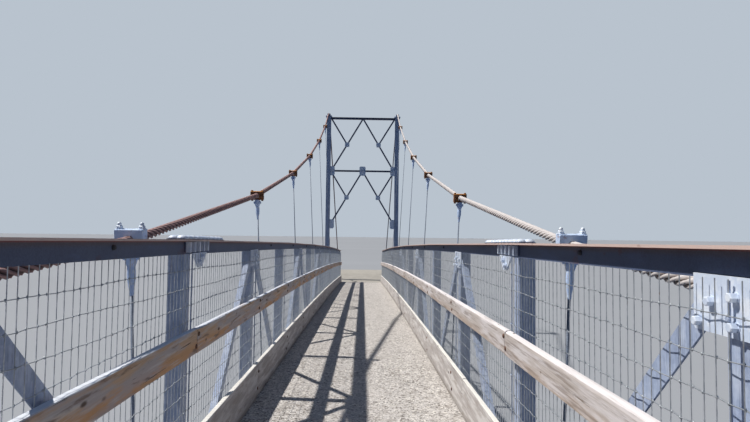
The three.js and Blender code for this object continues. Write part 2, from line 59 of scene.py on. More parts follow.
REAL_MM = 1e-4  # one millimetre of the real bridge, in metres of the 1:10 model
X_AXIS, Y_AXIS, Z_AXIS = np.eye(3)
log = logging.getLogger("footbridge")


class Way(Enum):
    """One of two directions along an axis, as its sign."""

    @property
    def label(self) -> str:
        """Its name in lower case."""
        return self.name.lower()


class Side(Way):
    """The two sides of the walkway, as the sign of X."""

    LEFT = -1
    RIGHT = 1


class End(Way):
    """The two ends of the bridge, as the sign of Y."""

    NEAR = -1
    FAR = 1


def unit(vectors: Array) -> Array:
    """Vectors, whose X, Y and Z are the last axis, each divided by its length."""
    return vectors / np.linalg.norm(vectors, axis=-1, keepdims=True)


def sweep(section: Array, paths: Array, across: Array, up: Array, along: Array | None = None) -> tuple[Array, ...]:
    """Carries a closed section along one or more paths, with both ends closed.

    A corner (a, b) of the section lies at path + a * u + b * v, where u is the direction across made square
    to the path, and v is square to both, on the side of the direction up.

    Args:
        section: corners (k, 2), or one section for each station (m, k, 2), or for each path too (n, m, k, 2).
        paths: stations (m, 3) of one path or (n, m, 3) of several.
        across: the direction of the section's first coordinate.
        up: the side on which its second coordinate lies.
        along: the paths' direction, where they are straight.

    Returns:
        The points, the quads between the stations, and the caps at the two ends.
    """
    paths, section = np.asarray(paths, float), np.asarray(section, float)
    paths = paths[None] if paths.ndim == 2 else paths
    n, m = paths.shape[:2]
    k = section.shape[-2]
    tangent = unit(np.gradient(paths, axis=1)) if along is None else np.broadcast_to(along, paths.shape)
    u = unit(across - np.sum(across * tangent, -1, keepdims=True) * tangent)
    v = np.cross(tangent, u)
    sign = np.sign(np.sum(v * up))
    corners = np.broadcast_to(section, (n, m, k, 2))
    a, b = corners[0, 0].T
    turn = np.sign(np.sum(a * np.roll(b, -1) - b * np.roll(a, -1))) * sign
    corners = corners[:, :, :: int(turn)]
    offsets = corners[..., :1] * u[:, :, None] + sign * corners[..., 1:] * v[:, :, None]
    first = np.arange(n)[:, None] * m * k + np.arange(k)
    start = first[:, None, :] + np.arange(m - 1)[:, None] * k
    after = start + np.roll(np.arange(k), -1) - np.arange(k)
    quads = np.stack([start, after, after + k, start + k], -1).reshape(-1, 4)
    return (paths[:, :, None] + offsets).reshape(-1, 3), quads, first[:, ::-1], first + (m - 1) * k


def spindle(places: Array, axis: Array, profile: list[Pair], sides: int) -> tuple[Array, ...]:
    """Turns a profile about an axis at each of several places.

    A corner lies at place + along * axis + radius * (cos t, sin t) in the plane square to the axis.

    Args:
        places: origins (n, 3) of the turned pieces.
        axis: their common axis.
        profile: (along, radius) pairs from one end to the other.
        sides: the number of flats.

    Returns:
        The points, the quads, and the caps at the two ends.
    """
    along, radius = np.array(profile).T
    paths = np.asarray(places, float).reshape(-1, 1, 3) + along[:, None] * unit(axis)
    across = unit(np.cross(axis, X_AXIS if abs(unit(axis)[0]) < 0.8 else Y_AXIS))
    section = radius[:, None, None] * polygon(sides, 1.0)
    return sweep(section, paths, across, np.cross(axis, across), unit(axis))


def ring(radius: float, start: float, stop: float, steps: int) -> Array:
    """Points radius * (cos t, sin t), with t in equal steps from start to stop."""
    turn = np.linspace(start, stop, steps + 1)
    return radius * np.stack([np.cos(turn), np.sin(turn)], -1)


def polygon(sides: int, radius: float) -> Array:
    """A regular polygon's corners, counter-clockwise, with a flat at t = 0."""
    half = math.pi / sides
    return ring(radius, half, 2 * math.pi - half, sides - 1)


def rounded(width: float, height: float, radius: float, steps: int = 1) -> Array:
    """A rectangle about the origin, counter-clockwise, whose corners are arcs, or chamfers where steps is 1.

    Args:
        width: its size along the first coordinate.
        height: its size along the second.
        radius: the arcs' radius.
        steps: stretches in each arc.

    Returns:
        The outline's corners: the middle of each corner's arc + radius * (cos t, sin t).
    """
    arcs = [ring(radius, turn, turn + math.pi / 2, steps) for turn in np.arange(4) * math.pi / 2]
    middles = np.array([(1, 1), (-1, 1), (-1, -1), (1, -1)]) * (width / 2 - radius, height / 2 - radius)
    return (middles[:, None] + arcs).reshape(-1, 2)


def i_section(width: float, depth: float, flange: float, web: float, root: float) -> Array:
    """A rolled I: two flanges along the first coordinate, a web along the second and chamfers for its roots.

    Args:
        width: the flanges' width.
        depth: the whole depth, square to the flanges.
        flange: the flanges' thickness.
        web: the web's thickness.
        root: the size of the chamfers between them.

    Returns:
        The outline's corners, counter-clockwise.
    """
    w, d, t = width / 2, depth / 2, web / 2
    inner = [(w, d - flange), (t + root, d - flange), (t, d - flange - root)]
    right = [(w, -d), *((a, -b) for a, b in inner), *reversed(inner), (w, d)]
    return np.array(right + [(-a, -b) for a, b in right])


@dataclass
class Shell:
    """Points and polygons gathered as whole arrays, until they become one mesh.

    The point attribute tone, from 0 to 1, tells the finish how one member differs from the next, and rise tells
    how far up a member a point is.
    """

    rows: dict[str, list[Array]] = field(default_factory=lambda: defaultdict(list))
    count: int = 0

    def add(
        self, points: Array, *faces: Array, tone: float | Array = 0.5, rise: Pair | None = None, smooth: bool = False
    ) -> None:
        """Adds points with the polygons between them.

        Args:
            points: places (n, 3) in real millimetres.
            faces: arrays of corner numbers, one array for each number of corners.
            tone: one value, or one for each point.
            rise: the heights over the walking surface at which the attribute rise is 0 and 1.
            smooth: whether the quads are shaded as one round surface.
        """
        over = np.interp(points[:, 2] - BRIDGE.level(points[:, 1]), rise, (0, 1)) if rise else 0.5
        self.rows["co"].append(points)
        self.rows["tone"].append(np.broadcast_to(tone, len(points)))
        self.rows["rise"].append(np.broadcast_to(over, len(points)))
        for order, polygons in enumerate(faces):
            self.rows["corners"].append((polygons + self.count).ravel())
            self.rows["sizes"].append(np.full(len(polygons), polygons.shape[1]))
            self.rows["smooth"].append(np.full(len(polygons), smooth and order == 0))
        self.count += len(points)

    def blocks(self, middles: Array, size: Triple, tone: float = 0.5) -> None:
        """Adds blocks of one size with slightly worn edges.

        Args:
            middles: their middles, with X, Y and Z on the last axis.
            size: their size along X, Y and Z.
            tone: their tone.
        """
        ends = [np.reshape(middles, (-1, 3)) + Y_AXIS * size[1] * share for share in (-0.5, 0.5)]
        outline = rounded(size[0], size[2], min(2.0, min(size) / 5))
        self.add(*sweep(outline, np.stack(ends, -2), X_AXIS, Z_AXIS), tone=tone)

    def bolts(self, places: Array, axis: Array, size: float, nut: float = 0.8, washer: bool = True) -> None:
        """Adds hexagon heads or nuts standing on a face.

        In bolt diameters the washer is 2 wide and 0.16 thick, and the head 1.74 wide with its top edge worn.

        Args:
            places: their seats (n, 3).
            axis: the direction in which they stand out.
            size: the bolt's diameter.
            nut: the head's height, in bolt diameters.
            washer: whether each has a round washer.
        """
        foot = 0.16 * size if washer else 0.0
        if washer:
            self.add(*spindle(places, axis, [(0, size), (foot, size)], 10), tone=0.7)
        top = foot + nut * size
        head = [(foot, 0.87 * size), (top - 0.12 * size, 0.87 * size), (top, 0.7 * size)]
        self.add(*spindle(places, axis, head, 6), tone=0.8)

    def object(self, name: str, material: bpy.types.Material) -> bpy.types.Object:
        """Makes the mesh, with all faces pointing out of the closed shells.

        Args:
            name: the object's name.
            material: the material of all its faces.

        Returns:
            The new object.
        """
        data = {label: np.concatenate(rows) for label, rows in self.rows.items()}
        sizes = data["sizes"]
        mesh = bpy.data.meshes.new(name)
        mesh.vertices.add(self.count)
        mesh.vertices.foreach_set("co", (data["co"] * REAL_MM).astype(np.float32).ravel())
        mesh.loops.add(len(data["corners"]))
        mesh.polygons.add(len(sizes))
        mesh.polygons.foreach_set("loop_start", (np.cumsum(sizes) - sizes).astype(np.int32))
        mesh.polygons.foreach_set("vertices", data["corners"].astype(np.int32))
        mesh.update(calc_edges=True)
        mesh.polygons.foreach_set("use_smooth", data["smooth"])
        for label in ("tone", "rise"):
            layer = mesh.attributes.new(label, "FLOAT", "POINT")
            layer.data.foreach_set("value", data[label].astype(np.float32))
        mesh.validate()
        mesh.materials.append(material)
        made = bpy.data.objects.new(name, mesh)
        bpy.context.scene.collection.objects.link(made)
        log.info("%s: %d faces", name, len(sizes))
        return made

    def piece(self, name: str, finish: Finish, solid: str | None = None) -> None:
        """Makes a piece that rides on the bridge's only body.

        Args:
            name: the piece's name.
            finish: its finish, which also has its slot.
            solid: the node whose place it takes.
        """
        made = self.object(name, finish.material)
        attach(made, "root")
        if solid:
            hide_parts(solid)


def linear(color: str) -> tuple[float, float, float, float]:
    """Red, green, blue and an opacity of 1, in Blender's linear values, of an sRGB colour in six hex digits."""
    channels = (int(color[i : i + 2], 16) / 255 for i in (0, 2, 4))
    return *(c / 12.92 if c <= 0.04045 else ((c + 0.055) / 1.055) ** 2.4 for c in channels), 1.0


def node(
    tree: bpy.types.NodeTree, kind: str, inputs: dict[str | int, object] | None = None, **settings: object
) -> bpy.types.bpy_prop_collection:
    """Adds a shader node with its settings and links.

    Args:
        tree: the material's nodes.
        kind: the node's type, without the word ShaderNode.
        inputs: for each socket a value, or the output that it is linked to.
        settings: values of its properties.

    Returns:
        The new node's outputs.
    """
    made = tree.nodes.new("ShaderNode" + kind)
    for name, value in settings.items():
        setattr(made, name, value)
    for name, value in (inputs or {}).items():
        if isinstance(value, Socket):
            tree.links.new(value, made.inputs[name])
        else:
            made.inputs[name].default_value = value
    return made.outputs


class Pattern(Enum):
    """What a coat follows: each one gives a value from 0 to 1 at every place."""

    CLOUDS = "cloudy noise"
    CELLS = "a random value for each crystal or stone"
    SPOTS = "the distance from such a cell's middle"
    BOARDS = "a random value for each level board of the formwork"
    JOINTS = "the height over the joint below, in boards"
    TONE = "the point attribute tone"
    RISE = "the point attribute rise"


@dataclass(frozen=True)
class Coat:
    """A colour over the ones before it, which shows as far as its pattern has risen from low to high."""

    color: str
    size: float = 100.0  # of the pattern, in real millimetres
    low: float = 0.4
    high: float = 0.6
    share: float = 1.0  # the most of it that shows
    stretch: Triple = (1.0, 1.0, 1.0)
    by: Pattern = Pattern.CLOUDS
    facing: Pair | None = None  # the normal's Z where it begins, and where all of it shows
    relief: float = 0.0  # how far it stands out, in real millimetres
    roughness: float = 0.0  # what it adds to the roughness

    def value(self, tree: bpy.types.NodeTree, place: Socket, shift: float) -> Socket:
        """The pattern's value at a place.

        A cloudy pattern is noise at place / stretch + shift; boards are floor(z / size), and joints its remainder.

        Args:
            tree: the material's nodes.
            place: the coordinates.
            shift: an offset that makes it differ from the other coats' patterns.

        Returns:
            The socket that holds it.
        """
        scale = 1 / (self.size * REAL_MM)
        if self.by in (Pattern.TONE, Pattern.RISE):
            return node(tree, "Attribute", attribute_name=self.by.name.lower())["Fac"]
        if self.by in (Pattern.BOARDS, Pattern.JOINTS):
            height = node(tree, "SeparateXYZ", {0: place})["Z"]
            course = node(tree, "Math", {0: height, 1: scale}, operation="MULTIPLY")[0]
            if self.by is Pattern.JOINTS:
                return node(tree, "Math", {0: course}, operation="FRACT")[0]
            board = node(tree, "Math", {0: course}, operation="FLOOR")[0]
            return node(tree, "TexWhiteNoise", {"W": board}, noise_dimensions="1D")["Value"]
        moving = {"Vector": place, "Location": (shift,) * 3, "Scale": tuple(1 / s for s in self.stretch)}
        pattern = {"Vector": node(tree, "Mapping", moving)[0], "Scale": scale}
        if self.by is Pattern.CLOUDS:
            return node(tree, "TexNoise", {**pattern, "Detail": 4.0, "Roughness": 0.62})[0]
        cells = node(tree, "TexVoronoi", pattern)
        if self.by is Pattern.SPOTS:
            return cells["Distance"]
        return node(tree, "SeparateColor", {0: cells["Color"]})[0]

    def cover(self, tree: bpy.types.NodeTree, place: Socket, shift: float) -> Socket:
        """How much of the coat shows at a place, from 0 to its share.

        Args:
            tree: the material's nodes.
            place: the coordinates.
            shift: an offset that makes it differ from the other coats.

        Returns:
            The share times the pattern between its limits, times the facing between its own.
        """
        limits = {"From Min": self.low, "From Max": self.high, "To Min": 0.0, "To Max": self.share}
        ramp = {"interpolation_type": "SMOOTHSTEP"}
        shown = node(tree, "MapRange", {"Value": self.value(tree, place, shift), **limits}, **ramp)[0]
        if self.facing is None:
            return shown
        up = node(tree, "SeparateXYZ", {0: node(tree, "NewGeometry")["Normal"]})["Z"]
        limits = {"From Min": self.facing[0], "From Max": self.facing[1]}
        turned = node(tree, "MapRange", {"Value": up, **limits}, **ramp)[0]
        return node(tree, "Math", {0: shown, 1: turned}, operation="MULTIPLY")[0]


@dataclass(frozen=True)
class Finish:
    """A material as its maker would list it: a ground colour, and the coats that lie over it."""

    name: str
    slot: str  # of the pieces that wear it
    color: str
    roughness: float
    coats: tuple[Coat, ...]
    metallic: float = 0.0
    each_apart: bool = False  # whether each board, told by its tone, has a stretch of the pattern to itself

    @cached_property
    def material(self) -> bpy.types.Material:
        """The material, with the coats laid in order.

        Each coat mixes its colour in by its cover; relief and roughness are the sums of cover times the coat's own.

        Returns:
            The material, which is made when it is first asked for.
        """
        made = bpy.data.materials.new(self.name)
        made.use_nodes = True
        tree = made.node_tree
        tree.nodes.clear()
        place = node(tree, "TexCoord")["Object"]
        sums = {"operation": "MULTIPLY_ADD"}
        if self.each_apart:
            tone = node(tree, "Attribute", attribute_name="tone")["Vector"]
            place = node(tree, "VectorMath", {0: tone, 1: (7.0,) * 3, 2: place}, **sums)[0]
        color, rough, height = linear(self.color), self.roughness, 0.0
        for number, coat in enumerate(self.coats):
            cover = coat.cover(tree, place, 0.37 * number)
            color = node(tree, "Mix", {0: cover, 6: color, 7: linear(coat.color)}, data_type="RGBA")[2]
            if coat.roughness:
                rough = node(tree, "Math", {0: cover, 1: coat.roughness, 2: rough}, **sums)[0]
            if coat.relief:
                height = node(tree, "Math", {0: cover, 1: coat.relief, 2: height}, **sums)[0]
        look = {"Base Color": color, "Roughness": rough, "Metallic": self.metallic}
        if any(coat.relief for coat in self.coats):
            look["Normal"] = node(tree, "Bump", {"Distance": REAL_MM, "Height": height})[0]
        node(tree, "OutputMaterial", {"Surface": node(tree, "BsdfPrincipled", look)[0]})
        return made


# A coat's numbers are its pattern's size, where it begins, where all of it shows, how much shows, and its stretch.
UNDER = (-0.2, -0.9)  # faces that look down
ABOVE = (0.3, 0.85)  # faces that look up

# Galvanised sections brushed with blue-grey paint: the eye sees a dull blue in clouds, a mauve-brown band on the
# upper web, rust where water hangs under a flange, and pinkish dust on faces that look up, partly a painted
# highlight. Members with a low tone, the chords above all, are painted near navy: painted shade over their webs,
# with some grime. Blue patches on them are painted highlights, and a pale pink band over each chord's top flange,
# its edge too, is a painted highlight.
FRAME_PAINT = Finish("weathered_blue_grey_paint", "painted_steel", "8292B2", 0.55, (
    Coat("6C7EA2", 240, 0.35, 0.65),
    Coat("9DACC8", 55, 0.5, 0.68, 0.4, relief=0.3),
    Coat("4A5670", 24, 0.52, 0.7, 0.4, (1, 1, 9)),
    # Painted shade: near navy on low tones, over the chords' webs above all, with some grime.
    Coat("3C4762", by=Pattern.TONE, low=0.35, high=0.2, share=0.88),
    # Painted highlights: blue patches on the dark chords.
    Coat("54648E", 130, 0.55, 0.7, 0.35, (1, 3, 1)),
    Coat("57494A", by=Pattern.RISE, low=0.55, high=0.8, share=0.7),
    Coat("8A4430", by=Pattern.RISE, low=0.79, high=0.85, share=0.75),
    # Painted highlight: a pale pink band over the whole top flange, its edge too.
    Coat("D9C0B4", by=Pattern.RISE, low=0.86, high=0.89, share=0.9),
    Coat("7A4A36", 60, 0.42, 0.6, 0.8, (1, 3, 1), facing=UNDER),
    Coat("74452F", 80, 0.62, 0.7, 0.3, (1, 2, 1), relief=0.5, roughness=0.2),
    # Pinkish dust on faces that look up, partly a painted highlight.
    Coat("D8C3B4", 90, 0.2, 0.5, 0.85, (1, 6, 1), facing=ABOVE, roughness=0.2),
    # Near black on the lowest tones: the dark knobs on the chord webs, and the splice plates in part.
    Coat("16161A", by=Pattern.TONE, low=0.06, high=0.0, share=0.95),
    Coat("8292B2", 7, 0.3, 0.7, 0.12, relief=0.5, roughness=0.3),
))
# The same paint, less weathered, on the towers: a paler blue-grey with a few runs.
TOWER_PAINT = Finish("tower_grey_paint", "painted_steel", "AFBBD2", 0.55, (
    Coat("99A6BF", 300, 0.35, 0.65),
    Coat("CAD3E1", 60, 0.5, 0.7, 0.4, relief=0.3),
    Coat("6A7180", 30, 0.5, 0.7, 0.5, (1, 1, 12)),
    Coat("6B4B3B", 90, 0.62, 0.7, 0.35, (1, 1, 3), roughness=0.2),
    Coat("AFBBD2", 8, 0.3, 0.7, 0.15, relief=0.5, roughness=0.25),
))
# Hot-dip galvanised plate, dulled outdoors: a spangle of crystals, drawn at 16 mm where the real one is about
# 10, under a whitish bloom, with faint green damp and orange runs low down.
ZINC = Finish("hot_dip_zinc", "galvanised_steel", "AAB7D0", 0.5, (
    Coat("95A4C0", 16, 0.0, 1.0, 0.6, by=Pattern.CELLS, roughness=0.15),
    Coat("C6CFDF", 70, 0.45, 0.62, 0.5, (1, 1, 1.6), relief=0.3),
    Coat("7C89A6", 26, 0.5, 0.7, 0.5, (1, 1, 7)),
    Coat("66728E", 9, 0.52, 0.68, 0.45, (1, 1, 16)),
    Coat("B0754A", by=Pattern.RISE, low=0.45, high=0.0, share=0.5),
    Coat("8C6550", 40, 0.64, 0.74, 0.35, (1, 1, 5), roughness=0.25),
    Coat("7B4425", 14, 0.7, 0.78, 0.5, (1, 1, 3), roughness=0.3),
), metallic=0.1)
# New zinc on plates and fastenings: nearly white, with a blue cast from the sky and thin rust at the edges.
BRIGHT_ZINC = Finish("bright_zinc", "galvanised_steel", "D6E1F2", 0.42, (
    Coat("C6D3E8", 18, 0.0, 1.0, 0.7, by=Pattern.CELLS),
    Coat("EFF4FA", 60, 0.45, 0.62, 0.7, relief=0.3),
    Coat("A98F7C", 22, 0.64, 0.75, 0.35, (1, 1, 4), roughness=0.2),
    Coat("D6E1F2", 5, 0.3, 0.7, 0.2, relief=0.4, roughness=0.15),
), metallic=0.1)
# Cast and galvanised clamps and sockets: pale blue-white, the blue a painted cast of sky light, with rust washed
# down the middle of the sides. The rods under them are dark.
CAST_ZINC = Finish("cast_zinc_clamp", "galvanised_steel", "C8DDFC", 0.5, (
    Coat("B0C8EE", 70, 0.4, 0.62, 0.7, relief=0.6),
    Coat("EEF3F8", by=Pattern.TONE, low=0.6, high=0.9, share=0.9),
    Coat("EEF3F8", 30, 0.52, 0.66, 0.6),
    Coat("9A5E4A", 30, 0.58, 0.68, 0.5, (1, 1.6, 1), facing=(0.6, 0.1), roughness=0.3),
    Coat("4E5460", by=Pattern.TONE, low=0.3, high=0.2, share=0.9),
    Coat("C8DDFC", 6, 0.3, 0.7, 0.2, relief=0.6, roughness=0.2),
), metallic=0.1)
# Galvanised fence wire: light, thin, with a little grey; it is too fine for more to show.
WIRE = Finish("galvanised_fence_wire", "galvanised_steel", "C2C7CC", 0.45, (
    Coat("9BA2AA", 40, 0.4, 0.6, 0.8, roughness=0.15),
    Coat("8A6A50", 26, 0.64, 0.72, 0.5, roughness=0.2),
), metallic=0.5)
# Bare iron bolts and bands gone to brown rust: dull, grainy and uneven.
RUSTY_IRON = Finish("rusty_iron", "galvanised_steel", "6E4F40", 0.8, (
    Coat("523A30", 40, 0.4, 0.62),
    Coat("8A6048", 14, 0.52, 0.68, 0.7, relief=0.5),
    Coat("3D2C25", 9, 0.55, 0.7, 0.6, relief=-0.5),
), metallic=0.15)
# Clamps whose zinc has gone: orange rust, brightest on faces that look up, partly a painted highlight, with brown
# where it has been wet longest.
RUSTED_ZINC = Finish("rusted_zinc_clamp", "galvanised_steel", "74503A", 0.8, (
    Coat("94613A", 40, 0.4, 0.62),
    Coat("53392D", 24, 0.5, 0.68, 0.7, relief=0.5),
    # Bright orange on faces that look up: rust, and a painted highlight.
    Coat("CF8D40", 60, 0.2, 0.5, 0.9, facing=ABOVE),
    Coat("9BA3B2", 30, 0.62, 0.72, 0.4),
), metallic=0.1)
# Laid wire rope that has rusted, with lit and shaded copies for its two sides: the left, mauve-brown, is darkened as
# painted shade, and the right, with its crowns nearly white, is lightened as painted light. On both the upper side
# is paled as a painted highlight, and the grooves between the strands are near black, a painted shade.
ROPE = {
    side: Finish(f"rusty_wire_rope_{side.label}", "wire_rope", ground, 0.75, (
        Coat(clouds, 130, 0.4, 0.62, stretch=(1, 2, 1)),
        Coat("6B4A44", 60, 0.52, 0.7, 0.45, (1, 2, 1)),
        # Pale strand crowns; on the right nearly white, a painted light.
        Coat(crowns, by=Pattern.TONE, low=0.5, high=0.95, share=0.75),
        # Painted highlight: a pale upper side.
        Coat(upper, 110, 0.2, 0.5, 0.5, facing=ABOVE),
        # Painted shade: near black in the grooves between strands.
        Coat("1F171B", by=Pattern.TONE, low=0.45, high=0.05, share=0.95),
        Coat(ground, 5, 0.35, 0.65, 0.2, relief=0.7, roughness=0.15),
    ), metallic=0.1)
    for side, ground, clouds, crowns, upper in (
        # Left: a darkened copy, painted shade.
        (Side.LEFT, "6C5053", "7D6162", "A88C8A", "D6B0A9"),
        # Right: a lightened copy, painted light.
        (Side.RIGHT, "8F8582", "A29996", "DCD7D6", "E2DCDA"),
    )
}
# Sawn softwood left bare. Grain 5 mm apart, drawn at 7 so that it shows, runs along each board; the top is near
# white, silvered and partly a painted highlight, the lower half keeps the orange of its stain, and knots and drying
# checks are dark.
RAIL_TIMBER = {
    Side.LEFT: Finish("rail_timber_stained", "weathered_timber", "CDAE90", 0.8, (
        Coat("B08F70", 7, 0.35, 0.7, 0.6, (1, 55, 1), relief=0.7),
        Coat("D29C6A", by=Pattern.RISE, low=0.62, high=0.28, share=0.7),
        Coat("B0B4BE", 60, 0.42, 0.58, 0.6, (1, 9, 1)),
        Coat("D8D5D0", 26, 0.5, 0.66, 0.5, (1, 16, 1)),
        Coat("7A6456", 36, 0.56, 0.68, 0.75, (1, 8, 1)),
        # Near white on faces that look up: silvering, and a painted highlight.
        Coat("E0E6F0", 60, 0.1, 0.5, 0.95, (1, 8, 1), facing=ABOVE),
        Coat("4A3527", 120, 0.12, 0.05, 0.9, (1, 2.4, 1), by=Pattern.SPOTS, relief=-1.0),
        Coat("33291F", 12, 0.67, 0.71, 0.9, (1, 50, 1), relief=-2.0),
    ), each_apart=True),
    Side.RIGHT: Finish("rail_timber_silvered", "weathered_timber", "BCB3AE", 0.8, (
        Coat("9B918B", 7, 0.35, 0.7, 0.5, (1, 55, 1), relief=0.7),
        Coat("A48F7E", by=Pattern.RISE, low=0.5, high=0.1, share=0.6),
        Coat("D5D0D2", 50, 0.46, 0.64, 0.7, (1, 10, 1)),
        Coat("857870", 24, 0.5, 0.64, 0.7, (1, 18, 1)),
        # Near white on faces that look up: silvering, and a painted highlight.
        Coat("ECE8EA", 60, 0.1, 0.5, 0.7, (1, 8, 1), facing=ABOVE),
        Coat("55432F", 105, 0.1, 0.04, 0.9, (1, 2.0, 1), by=Pattern.SPOTS, relief=-1.0),
        Coat("6B5A48", 12, 0.66, 0.7, 0.8, (1, 50, 1), relief=-2.0),
    ), each_apart=True),
}
# Kerb planks of the same timber, greyed by boots and dust: paler on top, partly a painted highlight, and dark where
# damp sits at the foot.
KERB_TIMBER = Finish("kerb_timber_greyed", "weathered_timber", "B4AEAC", 0.85, (
    Coat("8E8885", 8, 0.35, 0.7, 0.6, (1, 50, 1), relief=0.7),
    Coat("D2CFCD", 50, 0.44, 0.6, 0.7, (1, 9, 1)),
    Coat("988D84", 40, 0.52, 0.66, 0.6, (1, 7, 1)),
    Coat("5F564E", by=Pattern.RISE, low=0.3, high=0.0, share=0.6),
    # Paler on faces that look up: dust, and a painted highlight.
    Coat("EDEAE2", 60, 0.1, 0.5, 0.85, (1, 8, 1), facing=ABOVE),
    Coat("453830", 170, 0.1, 0.04, 0.9, (1, 2.2, 1), by=Pattern.SPOTS, relief=-1.0),
    Coat("3A3028", 13, 0.67, 0.71, 0.85, (1, 50, 1), relief=-2.0),
), each_apart=True)
# Fine stones rolled into a binder, drawn at 13 mm where the real ones are about 6: a buff and grey speckle with
# pale and dark stones, broad worn lanes and damp patches.
GRAVEL = Finish("bonded_gravel", "gravel_surface", "B2ADA9", 0.95, (
    Coat("D3CECA", 13, 0.0, 1.0, by=Pattern.CELLS),
    Coat("4E4740", 15, 0.74, 0.86, 0.85, by=Pattern.CELLS, relief=-1.5),
    Coat("F1ECE2", 14, 0.84, 0.94, 0.85, by=Pattern.CELLS, relief=1.5),
    Coat("8A8179", 34, 0.7, 0.9, 0.5, by=Pattern.CELLS),
    Coat("C2BCB8", 420, 0.4, 0.65, 0.35, (1, 2.2, 1)),
    Coat("6E665C", 150, 0.58, 0.75, 0.4, (1, 1.6, 1)),
    Coat("C8C2BC", 13, 0.6, 0.1, 0.1, by=Pattern.SPOTS, relief=30.0),
))
# Concrete cast against 140 mm boards: level bands of slightly different greys with a grain of their own,
# grooves at the boards' joints, blow holes and streaks of damp.
CONCRETE = Finish("boarded_concrete", "concrete", "A9A49B", 0.9, (
    Coat("97928A", 140, 0.0, 1.0, 0.7, by=Pattern.BOARDS),
    Coat("B9B4AB", 380, 0.4, 0.65, 0.5),
    Coat("87827A", 70, 0.55, 0.72, 0.5, (1, 1, 8)),
    Coat("7A756C", 140, 0.06, 0.0, 0.6, by=Pattern.JOINTS, relief=-5.0),
    Coat("4F4A44", 70, 0.1, 0.05, 0.8, by=Pattern.SPOTS, relief=-2.5),
    Coat("A9A49B", 9, 0.3, 0.7, 0.2, (8, 8, 1), relief=5.0),
))
# Poured joint sealant: dull black-brown with dust in it.
JOINT_SEAL = Finish("joint_sealant", "gravel_surface", "3B3A38", 0.85, (
    Coat("5A554D", 30, 0.5, 0.7, 0.6, relief=0.8),
    Coat("2B2A29", 12, 0.5, 0.7),
))
# The studio's floor: matt painted board, too even for a pattern to show.
STUDIO_GREY = Finish("studio_grey", "", "9B9EA3", 0.95, (
    Coat("979A9F", 90000, 0.4, 0.6),
))


